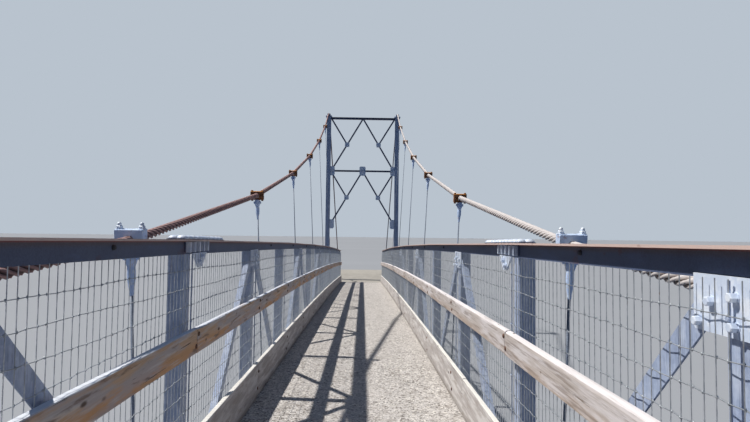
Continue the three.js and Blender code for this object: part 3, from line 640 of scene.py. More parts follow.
@dataclass
class Bridge:
    """The driving dimensions, which the solids share, and the lines that every sub-assembly follows."""

    spacing: float = 3860  # of the hangers
    hangers: int = 16
    end_level: float = 2300
    camber: float = 7.5e-7
    cable_above: float = 812
    cable_rise: float = 92.3
    cable_mid_x: float = 1257
    cable_tower_x: float = 1680
    saddle_radius: float = 900
    backstay_run: float = 14500
    anchor_level: float = 1170
    post_shift: float = 80  # from the hangers' rods to the posts and floor beams
    splice_post: int = 5  # panel number of the posts at the splices
    splice_reach: float = 60
    section_gap: float = 3

    def __post_init__(self) -> None:
        """Works out the places that follow: the camber's levels are middle - camber * y^2 at its stations."""
        self.panel = self.spacing / 2
        self.half = (self.hangers + 1) / 2  # hanger intervals from midspan to a tower
        self.tower_y = self.half * self.spacing
        self.truss_end = self.tower_y - 1000
        last = int(self.truss_end // self.panel)
        self.panels = np.arange(-last, last + 1)  # diagonals meet the top chord at the even ones
        self.posts = self.post(self.panels)
        # The camber bends at the floor beams and the two ends.
        self.stations = np.concatenate([[-self.truss_end], self.posts[self.panels % 2 == 1], [self.truss_end]])
        self.middle_level = self.end_level + self.camber * self.tower_y**2
        self.levels = self.middle_level - self.camber * self.stations**2
        self.crown, before = self.cable(Side.RIGHT, [self.half, self.half - 1])[:, 2]
        self.main_angle = math.atan2(self.crown - before, self.spacing)
        self.backstay_angle = math.atan2(self.crown - self.anchor_level, self.backstay_run)
        first, last = (self.post(n * self.splice_post) + n * self.splice_reach for n in (-1, 1))
        gap = self.section_gap
        limits = (-self.truss_end, first - gap), (first, last), (last + gap, self.truss_end)
        self.sections = dict(zip(("near", "middle", "far"), limits))

    def post(self, number: Array | float) -> Array | float:
        """Place of a panel point: number * panel + shift."""
        return number * self.panel + self.post_shift

    def level(self, y: Array | float) -> Array:
        """Level of the walking surface: straight lines between the stations' levels."""
        return np.interp(y, self.stations, self.levels)

    def at(self, x: Array | float, y: Array | float, above: Array | float) -> Array:
        """Places at a height over the walking surface: (x, y, level + above)."""
        return np.stack(np.broadcast_arrays(x, y, self.level(y) + above), -1)

    def line(self, limits: Pair, x: float, above: float) -> Array:
        """A path that follows the camber.

        Args:
            limits: where it starts and ends.
            x: its distance from the centre line, to the right.
            above: its height over the walking surface.

        Returns:
            Its points, with one at each bend of the camber.
        """
        low, high = sorted(limits)
        inside = self.stations[(self.stations > low + 1) & (self.stations < high - 1)]
        return self.at(x, np.concatenate([[low], inside, [high]]), above)

    def cable(self, side: Side, interval: Array | float) -> Array:
        """The cable's middle, where x and z follow squares of the interval, and y is interval * spacing.

        Args:
            side: the cable's side.
            interval: one place or more, counted in hanger intervals from midspan.

        Returns:
            X, Y and Z on the last axis.
        """
        t = np.asarray(interval, float)
        x = side.value * (self.cable_mid_x + (self.cable_tower_x - self.cable_mid_x) * (t / self.half) ** 2)
        return np.stack([x, t * self.spacing, self.middle_level + self.cable_above + self.cable_rise * t**2], -1)

    def saddle_arc(self, steps: int) -> Array:
        """The cable's round over a saddle: centre + radius * (-sin a, cos a), touching both of its slopes.

        Args:
            steps: stretches along the arc.

        Returns:
            Y and Z (steps + 1, 2), from the span's side.
        """
        turn = self.main_angle + self.backstay_angle
        ahead = np.array([math.cos(self.main_angle), math.sin(self.main_angle)])
        start = (self.tower_y, self.crown) - self.saddle_radius * math.tan(turn / 2) * ahead
        centre = start + self.saddle_radius * ahead[::-1] * (1, -1)
        angle = self.main_angle - turn * np.arange(steps + 1) / steps
        return centre + self.saddle_radius * np.stack([-np.sin(angle), np.cos(angle)], -1)

    def cable_route(self, side: Side) -> Array:
        """The whole cable's middle line.

        Args:
            side: the cable's side.

        Returns:
            Its points (n, 3), from one anchorage over the saddles and through the clamps to the other.
        """
        outer = np.insert([*self.saddle_arc(6), (self.tower_y + self.backstay_run, self.anchor_level)], 0, 0, axis=1)
        outer[:, 0] = side.value * self.cable_tower_x
        hangers = self.cable(side, np.arange(self.hangers) + 0.5 - self.hangers / 2)
        return np.concatenate([outer[::-1] * (1, -1, 1), hangers, outer])


BRIDGE = Bridge()


@dataclass
class Assembly:
    """What all sub-assemblies have: shells for main members, for braces or plates, and for fastenings."""

    steel: Shell = field(default_factory=Shell, kw_only=True)
    plates: Shell = field(default_factory=Shell, kw_only=True)
    trim: Shell = field(default_factory=Shell, kw_only=True)


@dataclass
class Truss(Assembly):
    """One section of a stiffening truss: channel and I chords, square posts, angle diagonals and gussets."""

    side: Side
    name: str
    limits: Pair
    chord_inner: float = 937
    chord_width: float = 100
    flange: float = 10
    lip: float = 8  # by which the upper chord's channel is deeper than the solid
    top: Pair = (1390, 1470)
    bottom: Pair = (-504.5, -392.5)
    post_inner: float = 990
    post_size: float = 100
    beam_top: float = -236.5
    diagonal_face: float = 984
    diagonal_width: float = 80
    diagonal_depth: float = 48
    foot: float = 55  # of a diagonal's middle line, from the post's
    leg: float = 8  # thickness of the diagonals' angle
    cope: float = 150  # length at each end over which the outer leg is cut away
    slope: float = 30  # length over which it then gains its depth
    clear_bottom: float = 45  # from a diagonal's foot to the lower chord
    clear_top: float = 84  # from its head to the upper chord's middle
    gusset_inner: float = 975
    gusset_half: float = 162
    gusset_low: float = 1240
    plate: float = 8
    bolt: float = 15
    base_plate: Triple = (130, 96, 12)
    stiffener: Pair = (35, 8)
    # Near-black knobs on the upper chord's web, halfway between posts: their profile, and their depth under the
    # chord's top.
    dark_knob: tuple[Pair, ...] = ((0, 13), (7, 12), (12, 7))
    dark_knob_below: float = 38
    foot_plate: tuple[Pair, ...] = ((55, -2), (240, -2), (330, 130), (250, 210), (170, 210), (55, 60))
    head_bolts: tuple[Pair, ...] = ((-6, 1268), (-6, 1341), (-94, 1322), (-147, 1264), (82, 1322), (135, 1264))
    foot_bolts: tuple[Pair, ...] = ((150, 40), (190, 82), (230, 124))

    def build(self) -> None:
        """Builds the chords in paint, the posts and diagonals in zinc, and the gussets with their bolts."""
        self.out = X_AXIS * self.side.value
        self.numbers = self.within(BRIDGE.panels, 0)
        self.chords()
        self.posts()
        self.diagonals()
        self.gussets()
        name = f"truss_{self.side.label}_{self.name}"
        self.steel.piece(name + "_chords", FRAME_PAINT, name)
        self.plates.piece(name + "_posts_and_diagonals", ZINC)
        self.trim.piece(name + "_gussets_and_bolts", BRIGHT_ZINC)

    def within(self, numbers: Array, shift: float) -> Array:
        """Those panel numbers whose place, moved by a share of a panel, lies in this section."""
        y = BRIDGE.post(numbers + shift)
        return numbers[(y > self.limits[0]) & (y < self.limits[1])]

    def chords(self) -> None:
        """The chords, which follow the camber, with plates that stiffen the top one at each post.

        The top chord is a plate over a channel that opens outwards, so that the plate shades the web.
        """
        s, w, t, h = self.side.value, self.chord_width / 2, self.flange, (self.top[1] - self.top[0]) / 2
        low, web = -h - self.lip, self.chord_inner + w + 2
        upper = [(-w, h - t), (2, h - t), (2, low), (w, low), (w, low + t), (10, low + t), (10, h - t), (w, h - t)]
        lower = i_section(2 * w, self.bottom[1] - self.bottom[0], t, 8, 7)
        for section, span in (([*upper, (w, h), (-w, h)], self.top), (lower, self.bottom)):
            path = BRIDGE.line(self.limits, s * (self.chord_inner + w), sum(span) / 2)
            # Tone 0.15 paints the chords near navy, a painted shade.
            self.steel.add(*sweep(section, path, self.out, Z_AXIS), tone=0.15, rise=span)
        x, thick = s * (web + 7 + self.stiffener[0] / 2), self.stiffener[1]
        stiffeners = BRIDGE.at(x, BRIDGE.post(self.numbers), sum(self.top) / 2)
        for shift in (thick - self.post_size / 2, self.post_size / 2 - thick):
            self.steel.blocks(stiffeners + Y_AXIS * shift, (*self.stiffener, 2 * (h - t + 1)), 0.3)
        y = BRIDGE.post(self.within(self.numbers, 0.5) + 0.5)
        # Near-black knobs on the web, halfway between posts.
        dark_knobs = BRIDGE.at(s * web, y, self.top[1] - self.dark_knob_below)
        self.steel.add(*spindle(dark_knobs, -self.out, self.dark_knob, 8), tone=0.0)

    def posts(self) -> None:
        """Square tubes that stand on the floor beams or the lower chord."""
        size, foot = self.post_size, sum(self.bottom) / 2
        ends = np.array([-1, 1]) * (BRIDGE.truss_end - size / 2)
        ends = ends[(ends > self.limits[0]) & (ends < self.limits[1])]
        y = np.append(BRIDGE.post(self.numbers), ends)
        low = np.append(np.where(self.numbers % 2 == 1, self.beam_top, foot), 0 * ends + foot)
        x = self.side.value * (self.post_inner + size / 2)
        paths = np.stack([BRIDGE.at(x, y, low), BRIDGE.at(x, y, self.top[0] + 4)], 1)
        self.plates.add(*sweep(rounded(size, size, 9, 3), paths, self.out, Y_AXIS))
        plates = BRIDGE.at(x, y[low == self.beam_top], self.beam_top + self.base_plate[2] / 2)
        self.plates.blocks(plates, self.base_plate, 0.4)

    def diagonals(self) -> None:
        """Angles from the foot of one post to the gusset at the head of the next, and a short one at each end.

        One leg lies against the gussets; the other stands outwards along the upper edge, and is cut away at
        both ends, so its depth falls from the whole to the plate's own over a short slope.
        """
        numbers = self.within(BRIDGE.panels[:-1], 0.5)
        y0, y1 = BRIDGE.post(numbers + (numbers % 2 == 0)), BRIDGE.post(numbers + numbers % 2)
        for sign in (-1, 1):
            if self.limits[0] <= sign * BRIDGE.truss_end <= self.limits[1]:
                y0 = np.append(y0, sign * (BRIDGE.truss_end - self.post_size / 2))
                y1 = np.append(y1, BRIDGE.post(sign * BRIDGE.panels[-1]))
        x, middle = self.side.value * self.diagonal_face, sum(self.bottom) / 2
        foot = BRIDGE.at(x, y0, middle) + np.sign(y1 - y0)[:, None] * self.foot * Y_AXIS
        run = BRIDGE.at(x, y1, sum(self.top) / 2) - foot
        low = foot + run * (self.bottom[1] - middle + self.clear_bottom) / run[:, 2:]
        high = foot + run * (1 - self.clear_top / run[:, 2:])
        length = np.linalg.norm(high - low, axis=1)[:, None, None]
        cut = np.minimum(self.cope / length, 0.3)
        taper = cut + self.slope / length
        share = np.concatenate([0 * cut, cut, taper, 1 - taper, 1 - cut, 0 * cut + 1], axis=1)
        paths = low[:, None] + share * (high - low)[:, None]
        w, t, thin, deep = self.diagonal_width / 2, self.leg, self.leg + 0.5, self.diagonal_depth
        section = np.array([
            [(w, 0), (-w, 0), (-w, t), (w - t, t), (w - t, depth), (w, depth)]
            for depth in (thin, thin, deep, deep, thin, thin)
        ])
        for toward in (-1, 1):
            chosen = paths[np.sign(y1 - y0) == toward]
            if len(chosen):
                along = unit(chosen[:, -1] - chosen[:, 0])[:, None]
                upper_edge = np.cross(along, X_AXIS)
                upper_edge *= np.sign(upper_edge[..., 2:])
                rise = (self.bottom[1], self.bottom[1] + 900)
                self.plates.add(*sweep(section, chosen, upper_edge, self.out, along), tone=0.6, rise=rise)

    def gussets(self) -> None:
        """Plates at the heads of every second post and at the feet of the others, with their bolt heads."""
        half, low, high, base = self.gusset_half, self.gusset_low, self.top[0] + 2, self.bottom[1]
        head = [(-half, high), (-half, low + 6), (6 - half, low), (half - 6, low), (half, low + 6), (half, high)]
        foot = np.array(self.foot_plate) + (0, base)
        foot_bolts = [(lean * a, base + b) for a, b in self.foot_bolts for lean in (-1, 1)]
        for odd, outlines, inner, seat, bolts in (
            (0, [head], self.gusset_inner, self.gusset_inner, self.head_bolts),
            (1, [foot, foot * (-1, 1)], self.post_inner + 2, self.diagonal_face, foot_bolts),
        ):
            y = BRIDGE.post(self.numbers[self.numbers % 2 == odd])
            paths = np.stack([BRIDGE.at(self.side.value * x, y, 0) for x in (inner, inner + self.plate)], 1)
            for outline in outlines:
                self.trim.add(*sweep(outline, paths, Y_AXIS, Z_AXIS), tone=0.6)
            seats = BRIDGE.at(self.side.value * seat, y, 0)[:, None] + np.insert(np.array(bolts), 0, 0, axis=1)
            self.trim.bolts(seats, -self.out, self.bolt, 1.2)


@dataclass
class Splice(Assembly):
    """A bolted joint of the top chord: a plate on top with cap nuts, a ribbed plate on the web, and a knee."""

    side: Side
    end: End
    start: float = -225  # of the top plate, from the post
    length: float = 850
    top: float = 1470
    middle: float = 987  # of the chord, from the centre line
    nuts: tuple[float, ...] = (-178, -98, -18, 82, 155, 228, 302, 403, 489, 575)
    ribs: tuple[float, ...] = (-48, 43, 134, 225, 316)
    rib: Triple = (28, 14, 63)
    rib_middle: Pair = (969, -42.5)  # X, and height from the chord's top
    web_plate: Triple = (9, 408, 60)
    web_middle: Pair = (985.5, -42)
    knee: tuple[Pair, ...] = ((30, 1389), (310, 1389), (215, 1300), (135, 1300))
    knee_faces: Pair = (-22, -12)  # from the chord's middle
    knee_bolts: tuple[Pair, ...] = ((150, 1330), (195, 1362))
    knee_bolt: float = 20
    plate: Triple = (100, 6, 1.5)  # width, thickness and chamfer
    nut_out: float = 24
    cap: tuple[Pair, ...] = ((0, 31), (4, 33), (11, 29), (18, 19), (21, 7))

    def build(self) -> None:
        """Builds the plates in paint, then ribs and nuts in zinc."""
        s, sy = self.side.value, self.end.value
        post = BRIDGE.post(sy * BRIDGE.splice_post)
        limits = (post + sy * self.start, post + sy * (self.start + self.length))
        path = BRIDGE.line(limits, s * self.middle, self.top + 2)
        # Tone 0.03 paints the plate near black, under pale dust where it looks up.
        self.plates.add(*sweep(rounded(*self.plate), path, X_AXIS, Z_AXIS), tone=0.03)
        ribs = post + sy * np.array(self.ribs)
        level = BRIDGE.level(ribs.mean())
        (web, web_z), (rib, rib_z) = self.web_middle, self.rib_middle
        # Tone 0.1 paints the web plate near navy like the chord's web, a painted shade.
        self.plates.blocks((s * web, ribs.mean(), level + self.top + web_z), self.web_plate, 0.1)
        self.trim.blocks([(s * rib, y, level + self.top + rib_z) for y in ribs], self.rib, 0.7)
        outline = [(post + sy * y, z) for y, z in self.knee]
        ends = [(s * (self.middle + a), 0, level) for a in self.knee_faces]
        self.trim.add(*sweep(outline, ends, Y_AXIS, Z_AXIS), tone=0.6)
        knee = [(s * (self.middle + self.knee_faces[0]), post + sy * y, level + z) for y, z in self.knee_bolts]
        self.trim.bolts(knee, -X_AXIS * s, self.knee_bolt)
        x = s * self.middle + np.array([-1, 1]) * self.nut_out
        seats = BRIDGE.at(x, post + sy * np.array(self.nuts)[:, None], self.top + 4)
        self.trim.add(*spindle(seats, Z_AXIS, self.cap, 12), tone=0.9, smooth=True)
        name = f"chord_splice_{self.end.label}_{self.side.label}"
        self.plates.piece(name + "_plates", FRAME_PAINT)
        self.trim.piece(name + "_ribs_and_nuts", BRIGHT_ZINC)


@dataclass
class MeshFence(Assembly):
    """The woven fence on one side: upright wires knotted to level wires, a rod at the foot, and thin bars."""

    side: Side
    plane: float = 958.5
    pitch: float = 50.8  # of the upright wires, 2 inches
    rise: float = 101.6  # of the level wires, 4 inches
    top_wire: float = 1289
    foot: float = 24
    head: float = 1386
    wire_radius: float = 1.5
    level_radius: float = 1.7
    knot: Triple = (4.2, 3.78, 6.3)  # half its size along each axis
    weave: float = 3.0  # how far a level wire swings past an upright
    waves: tuple[tuple[float, ...], ...] = ((4.5, 610, 1.9, 1), (2.6, 173, 2.7, 0))
    upright_stray: Pair = (0.8, 1.6)  # of its ends, across the fence and along it
    level_stray: float = 0.7
    bar: Pair = (9, 5)
    bar_face: float = 960
    bar_span: Pair = (14, 1383)
    rod: Triple = (5, 965, 20)  # radius, X and height
    lengths: int = 4  # in which the wires are made

    def build(self) -> None:
        """Builds the bars, and then the wires length by length."""
        name = f"mesh_fence_{self.side.label}"
        self.heights = np.arange(self.top_wire, self.foot, -self.rise)
        self.bars()
        self.steel.piece(name + "_bars", ZINC, name)
        count = int(2 * BRIDGE.truss_end // self.pitch)
        y = (np.arange(count) - (count - 1) / 2) * self.pitch
        for number, part in enumerate(np.array_split(y, self.lengths)):
            rng = np.random.default_rng(40 + 10 * number + self.side.value)
            self.wires(part, rng).piece(f"{name}_wires_{number + 1}", WIRE)

    def wires(self, y: Array, rng: np.random.Generator) -> Shell:
        """Straight three-sided upright wires, slightly out of true, and level wires knotted to them.

        A level wire passes before one upright and behind the next: x = plane + weave * (-1)^i at upright i. Its
        z is level + height + sag, where each wave of the sag is high * sin(y / long + phase). The phase has one
        share that grows from row to row, and one that the side gives.

        Args:
            y: the upright wires' places.
            rng: what strays is drawn from it.

        Returns:
            The shell that holds them.
        """
        shell, s, n = Shell(), self.side.value, len(y)
        x = s * (self.plane + rng.normal(0, self.upright_stray[0], (2, n)))
        lean = rng.normal(0, self.upright_stray[1], (2, n))
        ends = [BRIDGE.at(x[i], y, z) + lean[i][:, None] * Y_AXIS for i, z in enumerate((self.foot, self.head))]
        shell.add(*sweep(polygon(3, self.wire_radius * 1.25), np.stack(ends, 1), X_AXIS, Y_AXIS))
        row = np.arange(len(self.heights))[:, None]
        sag = sum(high * np.sin(y / long + by_row * row + by_side * s) for high, long, by_row, by_side in self.waves)
        swing = self.weave * (-1.0) ** np.arange(n)
        above = self.heights[:, None] + sag + rng.normal(0, self.level_stray, sag.shape)
        paths = BRIDGE.at(s * (self.plane + 0.5 + swing), y, above)
        shell.add(*sweep(polygon(3, self.level_radius * 1.2), paths, Z_AXIS, X_AXIS), smooth=True)
        corners = [(1, 0, 0), (0, 1, 0), (-1, 0, 0), (0, -1, 0), (0, 0, 1), (0, 0, -1)]
        points = (paths.reshape(-1, 1, 3) + np.array(corners) * self.knot).reshape(-1, 3)
        facets = [(0, 1, 4), (1, 2, 4), (2, 3, 4), (3, 0, 4), (1, 0, 5), (2, 1, 5), (3, 2, 5), (0, 3, 5)]
        faces = (np.arange(0, len(points), 6)[:, None, None] + facets).reshape(-1, 3)
        shell.add(points, faces, tone=0.8, smooth=True)
        return shell

    def bars(self) -> None:
        """A thin flat bar inside each post, and a rod along the fence's bottom edge."""
        s, y = self.side.value, BRIDGE.posts
        ends = [BRIDGE.at(s * (self.bar_face + self.bar[1] / 2), y, z) for z in self.bar_span]
        self.steel.add(*sweep(rounded(*self.bar, 1.2), np.stack(ends, 1), Y_AXIS, X_AXIS), tone=0.9)
        radius, x, above = self.rod
        path = BRIDGE.line((4 - BRIDGE.truss_end, BRIDGE.truss_end - 4), s * x, above)
        self.steel.add(*sweep(polygon(6, radius), path, X_AXIS, Z_AXIS), smooth=True)
        ties = BRIDGE.at(s * (self.bar_face + 1), y[:, None], self.heights[::3])
        self.steel.bolts(ties, -X_AXIS * s, 9, 0.7, washer=False)


@dataclass
class PlankRun(Assembly):
    """A run of planks along one side: a kerb or a mid rail, in boards that meet over the posts."""

    side: Side
    label: str
    low: float
    high: float
    joints: Array
    finish: Finish
    seed: int
    arris: float
    round_top: float = 0.0
    inner: float = 918
    outer: float = 957
    gap: float = 9
    bolt_shares: Pair = (0.28, 0.74)  # of the depth at which the coach bolts are
    bolt_shift: float = 22  # of the two along the bridge, one way and the other
    bolt_head: tuple[Pair, ...] = ((0, 15), (2.5, 15), (6, 11), (8, 5))
    step: float = 110  # about the length between two sections of a board
    worn_end: Pair = (6, 2.5)  # length and depth of the wear at its ends
    wander: float = 0.5  # of its edges
    drop: Pair = (-5, 3)  # limits of what it stands off its level
    shift: Pair = (-1, 2)  # limits of what it stands off the line of the others
    bow: float = 2.5  # the most that its middle stands out or in

    def build(self) -> None:
        """Builds the boards, and round heads of coach bolts, two at every post, one above the other."""
        s, depth = self.side.value, self.high - self.low
        rng = np.random.default_rng(self.seed)
        limits = np.concatenate([[-BRIDGE.truss_end], self.joints, [BRIDGE.truss_end]])
        for y0, y1 in zip(limits[:-1] + self.gap / 2, limits[1:] - self.gap / 2):
            self.board(y0, y1, rng)
        heights = self.low + np.array(self.bolt_shares) * depth
        shifts = np.outer((-1, 1), Y_AXIS) * self.bolt_shift
        heads = BRIDGE.at(s * (self.inner + 0.5), BRIDGE.posts[:, None], heights) + shifts
        self.trim.add(*spindle(heads, -X_AXIS * s, self.bolt_head, 10), smooth=True)
        name = f"{self.label}_{self.side.label}"
        self.steel.piece(name + "_boards", self.finish, name)
        self.trim.piece(name + "_coach_bolts", RUSTY_IRON)

    def board(self, y0: float, y1: float, rng: np.random.Generator) -> None:
        """One board with worn arrises, a slight bow and twist and edges that wander.

        Its section at y is the outline plus wander(y) at each corner, moved by bow * sin(pi * t) outwards.

        Args:
            y0: where it starts.
            y1: where it ends.
            rng: what strays is drawn from it.
        """
        w, h, a = (self.outer - self.inner) / 2, (self.high - self.low) / 2, self.arris
        r = max(self.round_top, a)
        crown = ring(r, math.pi / 2, math.pi, 3) + (r - w, h - r)
        outline = np.array([(-w, a - h), (a - w, -h), (w - a, -h), (w, a - h), (w, h - a), (w - a, h), *crown])
        y = np.linspace(y0, y1, max(4, int((y1 - y0) / self.step)) + 1)
        inside = BRIDGE.stations[(BRIDGE.stations > y0) & (BRIDGE.stations < y1)]
        worn, depth = self.worn_end
        y = np.unique(np.concatenate([[y0, y0 + worn], y[1:-1], inside, [y1 - worn, y1]]))
        t = (y - y0) / (y1 - y0)
        wander = rng.normal(0, self.wander, (len(y), len(outline), 2))
        wander[1:-1] = (wander[:-2] + wander[1:-1] + wander[2:]) / 2
        shrink = np.where((t == 0) | (t == 1), 1 - depth / h, 1.0)
        drop, bow = rng.uniform(*self.drop), rng.uniform(-self.bow, self.bow)
        x = (self.inner + self.outer) / 2 + rng.uniform(*self.shift) + bow * np.sin(math.pi * t)
        path = BRIDGE.at(self.side.value * x, y, (self.low + self.high) / 2 + drop)
        sides = sweep((outline + wander) * shrink[:, None, None], path, X_AXIS * self.side.value, Z_AXIS)
        self.steel.add(*sides, tone=rng.uniform(0, 1), rise=(self.low, self.high))


@dataclass
class MainCable(Assembly):
    """A laid wire rope from anchorage to anchorage, with a socket at each end."""

    side: Side
    radius: float = 32
    strands: int = 6
    lay: float = 400  # length in which a strand goes once round
    steps_per_lay: int = 12
    socket: tuple[Pair, ...] = (
        (0, 60), (0, 95), (60, 95), (70, 86), (430, 62), (440, 70), (500, 70), (510, 55), (600, 44), (600, 30)
    )

    def build(self) -> None:
        """Builds the rope's surface, and the sockets.

        Its radius(a, s) is the union of strand circles, turned by 2 pi s / lay. Three corners stand for each
        strand: the groove beside it and two on its round.
        """
        route = BRIDGE.cable_route(self.side)
        length = np.append(0, np.cumsum(np.linalg.norm(np.diff(route, axis=0), axis=1)))
        count = int(length[-1] / self.lay * self.steps_per_lay)
        s = np.linspace(0, length[-1], count)
        path = np.stack([np.interp(s, length, places) for places in route.T], -1)
        path[1:-1] = (path[:-2] + 2 * path[1:-1] + path[2:]) / 4
        pitch = 2 * math.pi / self.strands
        share = math.sin(pitch / 2) / (1 + math.sin(pitch / 2))
        strand, hub = self.radius * share, self.radius * (1 - share)
        off = np.tile(np.array([-0.5, -0.2, 0.2]) * pitch, self.strands)
        radius = hub * np.cos(off) + np.sqrt(np.maximum(strand**2 - (hub * np.sin(off)) ** 2, 0))
        angle = np.repeat(np.arange(self.strands) * pitch, 3) + off
        angle = angle + 2 * math.pi * s[:, None] / self.lay * self.side.value
        section = radius[:, None] * np.stack([np.cos(angle), np.sin(angle)], -1)
        points, *faces = sweep(section, path, X_AXIS, Z_AXIS)
        out = np.linalg.norm(points.reshape(count, -1, 3) - path[:, None], axis=-1).ravel()
        # The crown value tells the finish where to paint shade into the grooves and pale the crowns.
        crown = np.interp(out, (radius.min(), radius.max()), (0, 1))
        self.steel.add(points, *faces, tone=crown, smooth=True)
        for end, after in ((route[0], route[1]), (route[-1], route[-2])):
            self.trim.add(*spindle(end, after - end, self.socket, 20), smooth=True)
        name = f"main_cable_{self.side.label}"
        self.steel.piece(name + "_rope", ROPE[self.side], name)
        self.trim.piece(name + "_sockets", ZINC)


@dataclass
class HangerFrame(Assembly):
    """A floor beam slung from both cables: clamps, sockets, rods, and the beam that they carry."""

    number: int
    beam_half: float = 1290
    beam_width: float = 100
    beam: Pair = (-389.5, -239.5)
    bracket: Pair = (-380, -310)
    bracket_flange: float = 12
    bracket_width: float = 90
    bracket_web: float = 40  # from the rod to each of its two webs
    bracket_past_rod: float = 45
    stiffener_x: float = 1040
    stiffener: Pair = (10, 42)  # thickness and reach
    stiffener_out: float = 25  # from the web's middle
    foot_x: float = 1215
    rod: float = 9
    clamp_half: float = 83
    clamp_length: float = 70
    clamp_top: float = 68
    clamp_low: float = 58
    stud_x: float = 65
    bright_within: float = 2.5  # hanger intervals from midspan; the clamps beyond are rusty
    rusty_lower: float = 16  # by which a rusty clamp's block is lower
    rusty_thread: float = 17  # its bolts' diameter
    fork: tuple[Pair, ...] = (
        (56, 26), (68, 34), (118, 35), (152, 23), (186, 25), (226, 24), (292, 13), (314, 13), (318, 9)
    )
    pin: tuple[Pair, ...] = ((0, 17), (8, 17), (8, 11), (84, 11), (84, 17), (92, 17))
    pin_below: float = 96
    washer: tuple[Pair, ...] = ((0, 24), (4, 24))
    nut: tuple[Pair, ...] = ((0, 20), (15, 20), (18, 16))
    stud: tuple[Pair, ...] = ((0, 12), (14, 12), (20, 9), (23, 4))
    foot_washer: tuple[Pair, ...] = ((0, 30), (8, 30))
    rod_start: float = 312
    rod_past_foot: float = 62
    bore: float = 34
    thread: float = 24  # diameter of its large bolts

    def build(self) -> None:
        """Builds the beam, and on each side the clamp and the suspender."""
        self.interval = self.number + 0.5 - BRIDGE.hangers / 2  # from midspan
        self.beam_y = self.interval * BRIDGE.spacing + BRIDGE.post_shift
        self.bright = abs(self.interval) <= self.bright_within
        self.floor_beam()
        for side in Side:
            self.clamp(side)
            self.suspender(side)
        name = f"hanger_frame_{self.number + 1:02d}"
        self.steel.piece(name + "_beam", FRAME_PAINT, name)
        self.plates.piece(name + "_suspenders", CAST_ZINC)
        self.trim.piece(name + "_clamps", CAST_ZINC if self.bright else RUSTED_ZINC)

    def floor_beam(self) -> None:
        """A rolled I section, stiffened under the posts and beside the brackets that the rods hold it by."""
        y, foot, (low, high) = self.beam_y, self.foot_x, self.beam
        middle = (low + high) / 2
        path = BRIDGE.at(np.array([-1, 1]) * self.beam_half, y, middle)
        self.steel.add(*sweep(i_section(self.beam_width, high - low, 12, 9, 9), path, Y_AXIS, Z_AXIS))
        post, web = self.stiffener_x, self.bracket_web
        places = np.array([-foot - web, web - foot, -post, 0, post, foot - web, foot + web])[:, None]
        stiffeners = BRIDGE.at(places, y, middle) + np.outer((-1, 1), Y_AXIS) * self.stiffener_out
        self.steel.blocks(stiffeners, (*self.stiffener, high - low - 22), 0.4)
        (low, high), t = self.bracket, self.bracket_flange
        near, far = 6, BRIDGE.post_shift + self.bracket_past_rod  # from the beam's middle
        back, reach = (near + far) / 2 * Y_AXIS, far - near
        for x in (-foot, foot):
            for z in (low + t / 2, high - t / 2):
                self.steel.blocks(BRIDGE.at(x, y, z) - back, (self.bracket_width, reach, t), 0.4)
            webs = BRIDGE.at(np.array([x - web, x + web]), y, (low + high) / 2) - back + Y_AXIS / 2
            self.steel.blocks(webs, (self.stiffener[0], reach - 1, high - low - 2 * t + 2), 0.4)

    def clamp(self, side: Side) -> None:
        """A block across the cable, in two halves, with a bolt on each side of the cable.

        Args:
            side: the cable's side.
        """
        top = BRIDGE.cable(side, self.interval)
        along = unit(BRIDGE.cable(side, self.interval + 0.5) - BRIDGE.cable(side, self.interval - 0.5))
        up = unit(np.cross(np.cross(along, Z_AXIS), along))
        across = np.cross(along, up)
        w, worn, high = self.clamp_half, 3, self.clamp_top - (0 if self.bright else self.rusty_lower)
        half = self.clamp_length / 2
        path = top + np.array([-half, 4 - half, half - 4, half])[:, None] * along
        draw = np.array([0.97, 1, 1, 0.97])[:, None, None]
        r, bore = self.bore, ring(self.bore, math.pi, 0, 8)[1:-1]
        for h, sign in ((high, 1), (self.clamp_low, -1)):
            outline = [(w, 3), (w, h - worn), (w - worn, h), (worn - w, h), (-w, h - worn), (-w, 3), (-r, 3)]
            section = np.array([*outline, *bore, (r, 3)]) * (1, sign)
            self.trim.add(*sweep(section * draw, path, across, up), tone=0.7)
        seats = top + np.array([-1, 1])[:, None] * self.stud_x * across
        self.trim.bolts(seats - up * self.clamp_low, -up, self.thread if self.bright else self.rusty_thread)
        if not self.bright:
            self.trim.bolts(seats + up * high, up, self.rusty_thread, 0.7)
            return
        self.trim.add(*spindle(seats + up * high, up, self.washer, 14), tone=0.8)
        self.trim.add(*spindle(seats + up * (high + 3), up, self.nut, 6), tone=1.0)
        self.trim.add(*spindle(seats + up * (high + 18), up, self.stud, 12), tone=0.9, smooth=True)

    def suspender(self, side: Side) -> None:
        """A forked socket under the clamp, the rod, and its nuts over and under the bracket.

        Args:
            side: the cable's side.
        """
        top = BRIDGE.cable(side, self.interval)
        level = BRIDGE.level(self.beam_y) + sum(self.bracket) / 2
        foot = np.array([side.value * self.foot_x, self.interval * BRIDGE.spacing, level])
        down = unit(foot - top)
        across = unit(np.cross(down, Y_AXIS))
        self.plates.add(*spindle(top, down, self.fork, 10))
        pin = top + down * self.pin_below - across * self.pin[-1][0] / 2
        self.plates.add(*spindle(pin, across, self.pin, 10), tone=0.55)
        rod = [(self.rod_start, self.rod), (np.linalg.norm(foot - top) + self.rod_past_foot, self.rod)]
        self.plates.add(*spindle(top, down, rod, 8), tone=0.2, smooth=True)
        for up in (Z_AXIS, -Z_AXIS):
            seat = foot + up * (self.bracket[1] - self.bracket[0]) / 2
            self.plates.add(*spindle(seat, up, self.foot_washer, 12), tone=0.6)
            self.plates.bolts(seat + up * self.foot_washer[-1][0], up, self.thread, washer=False)


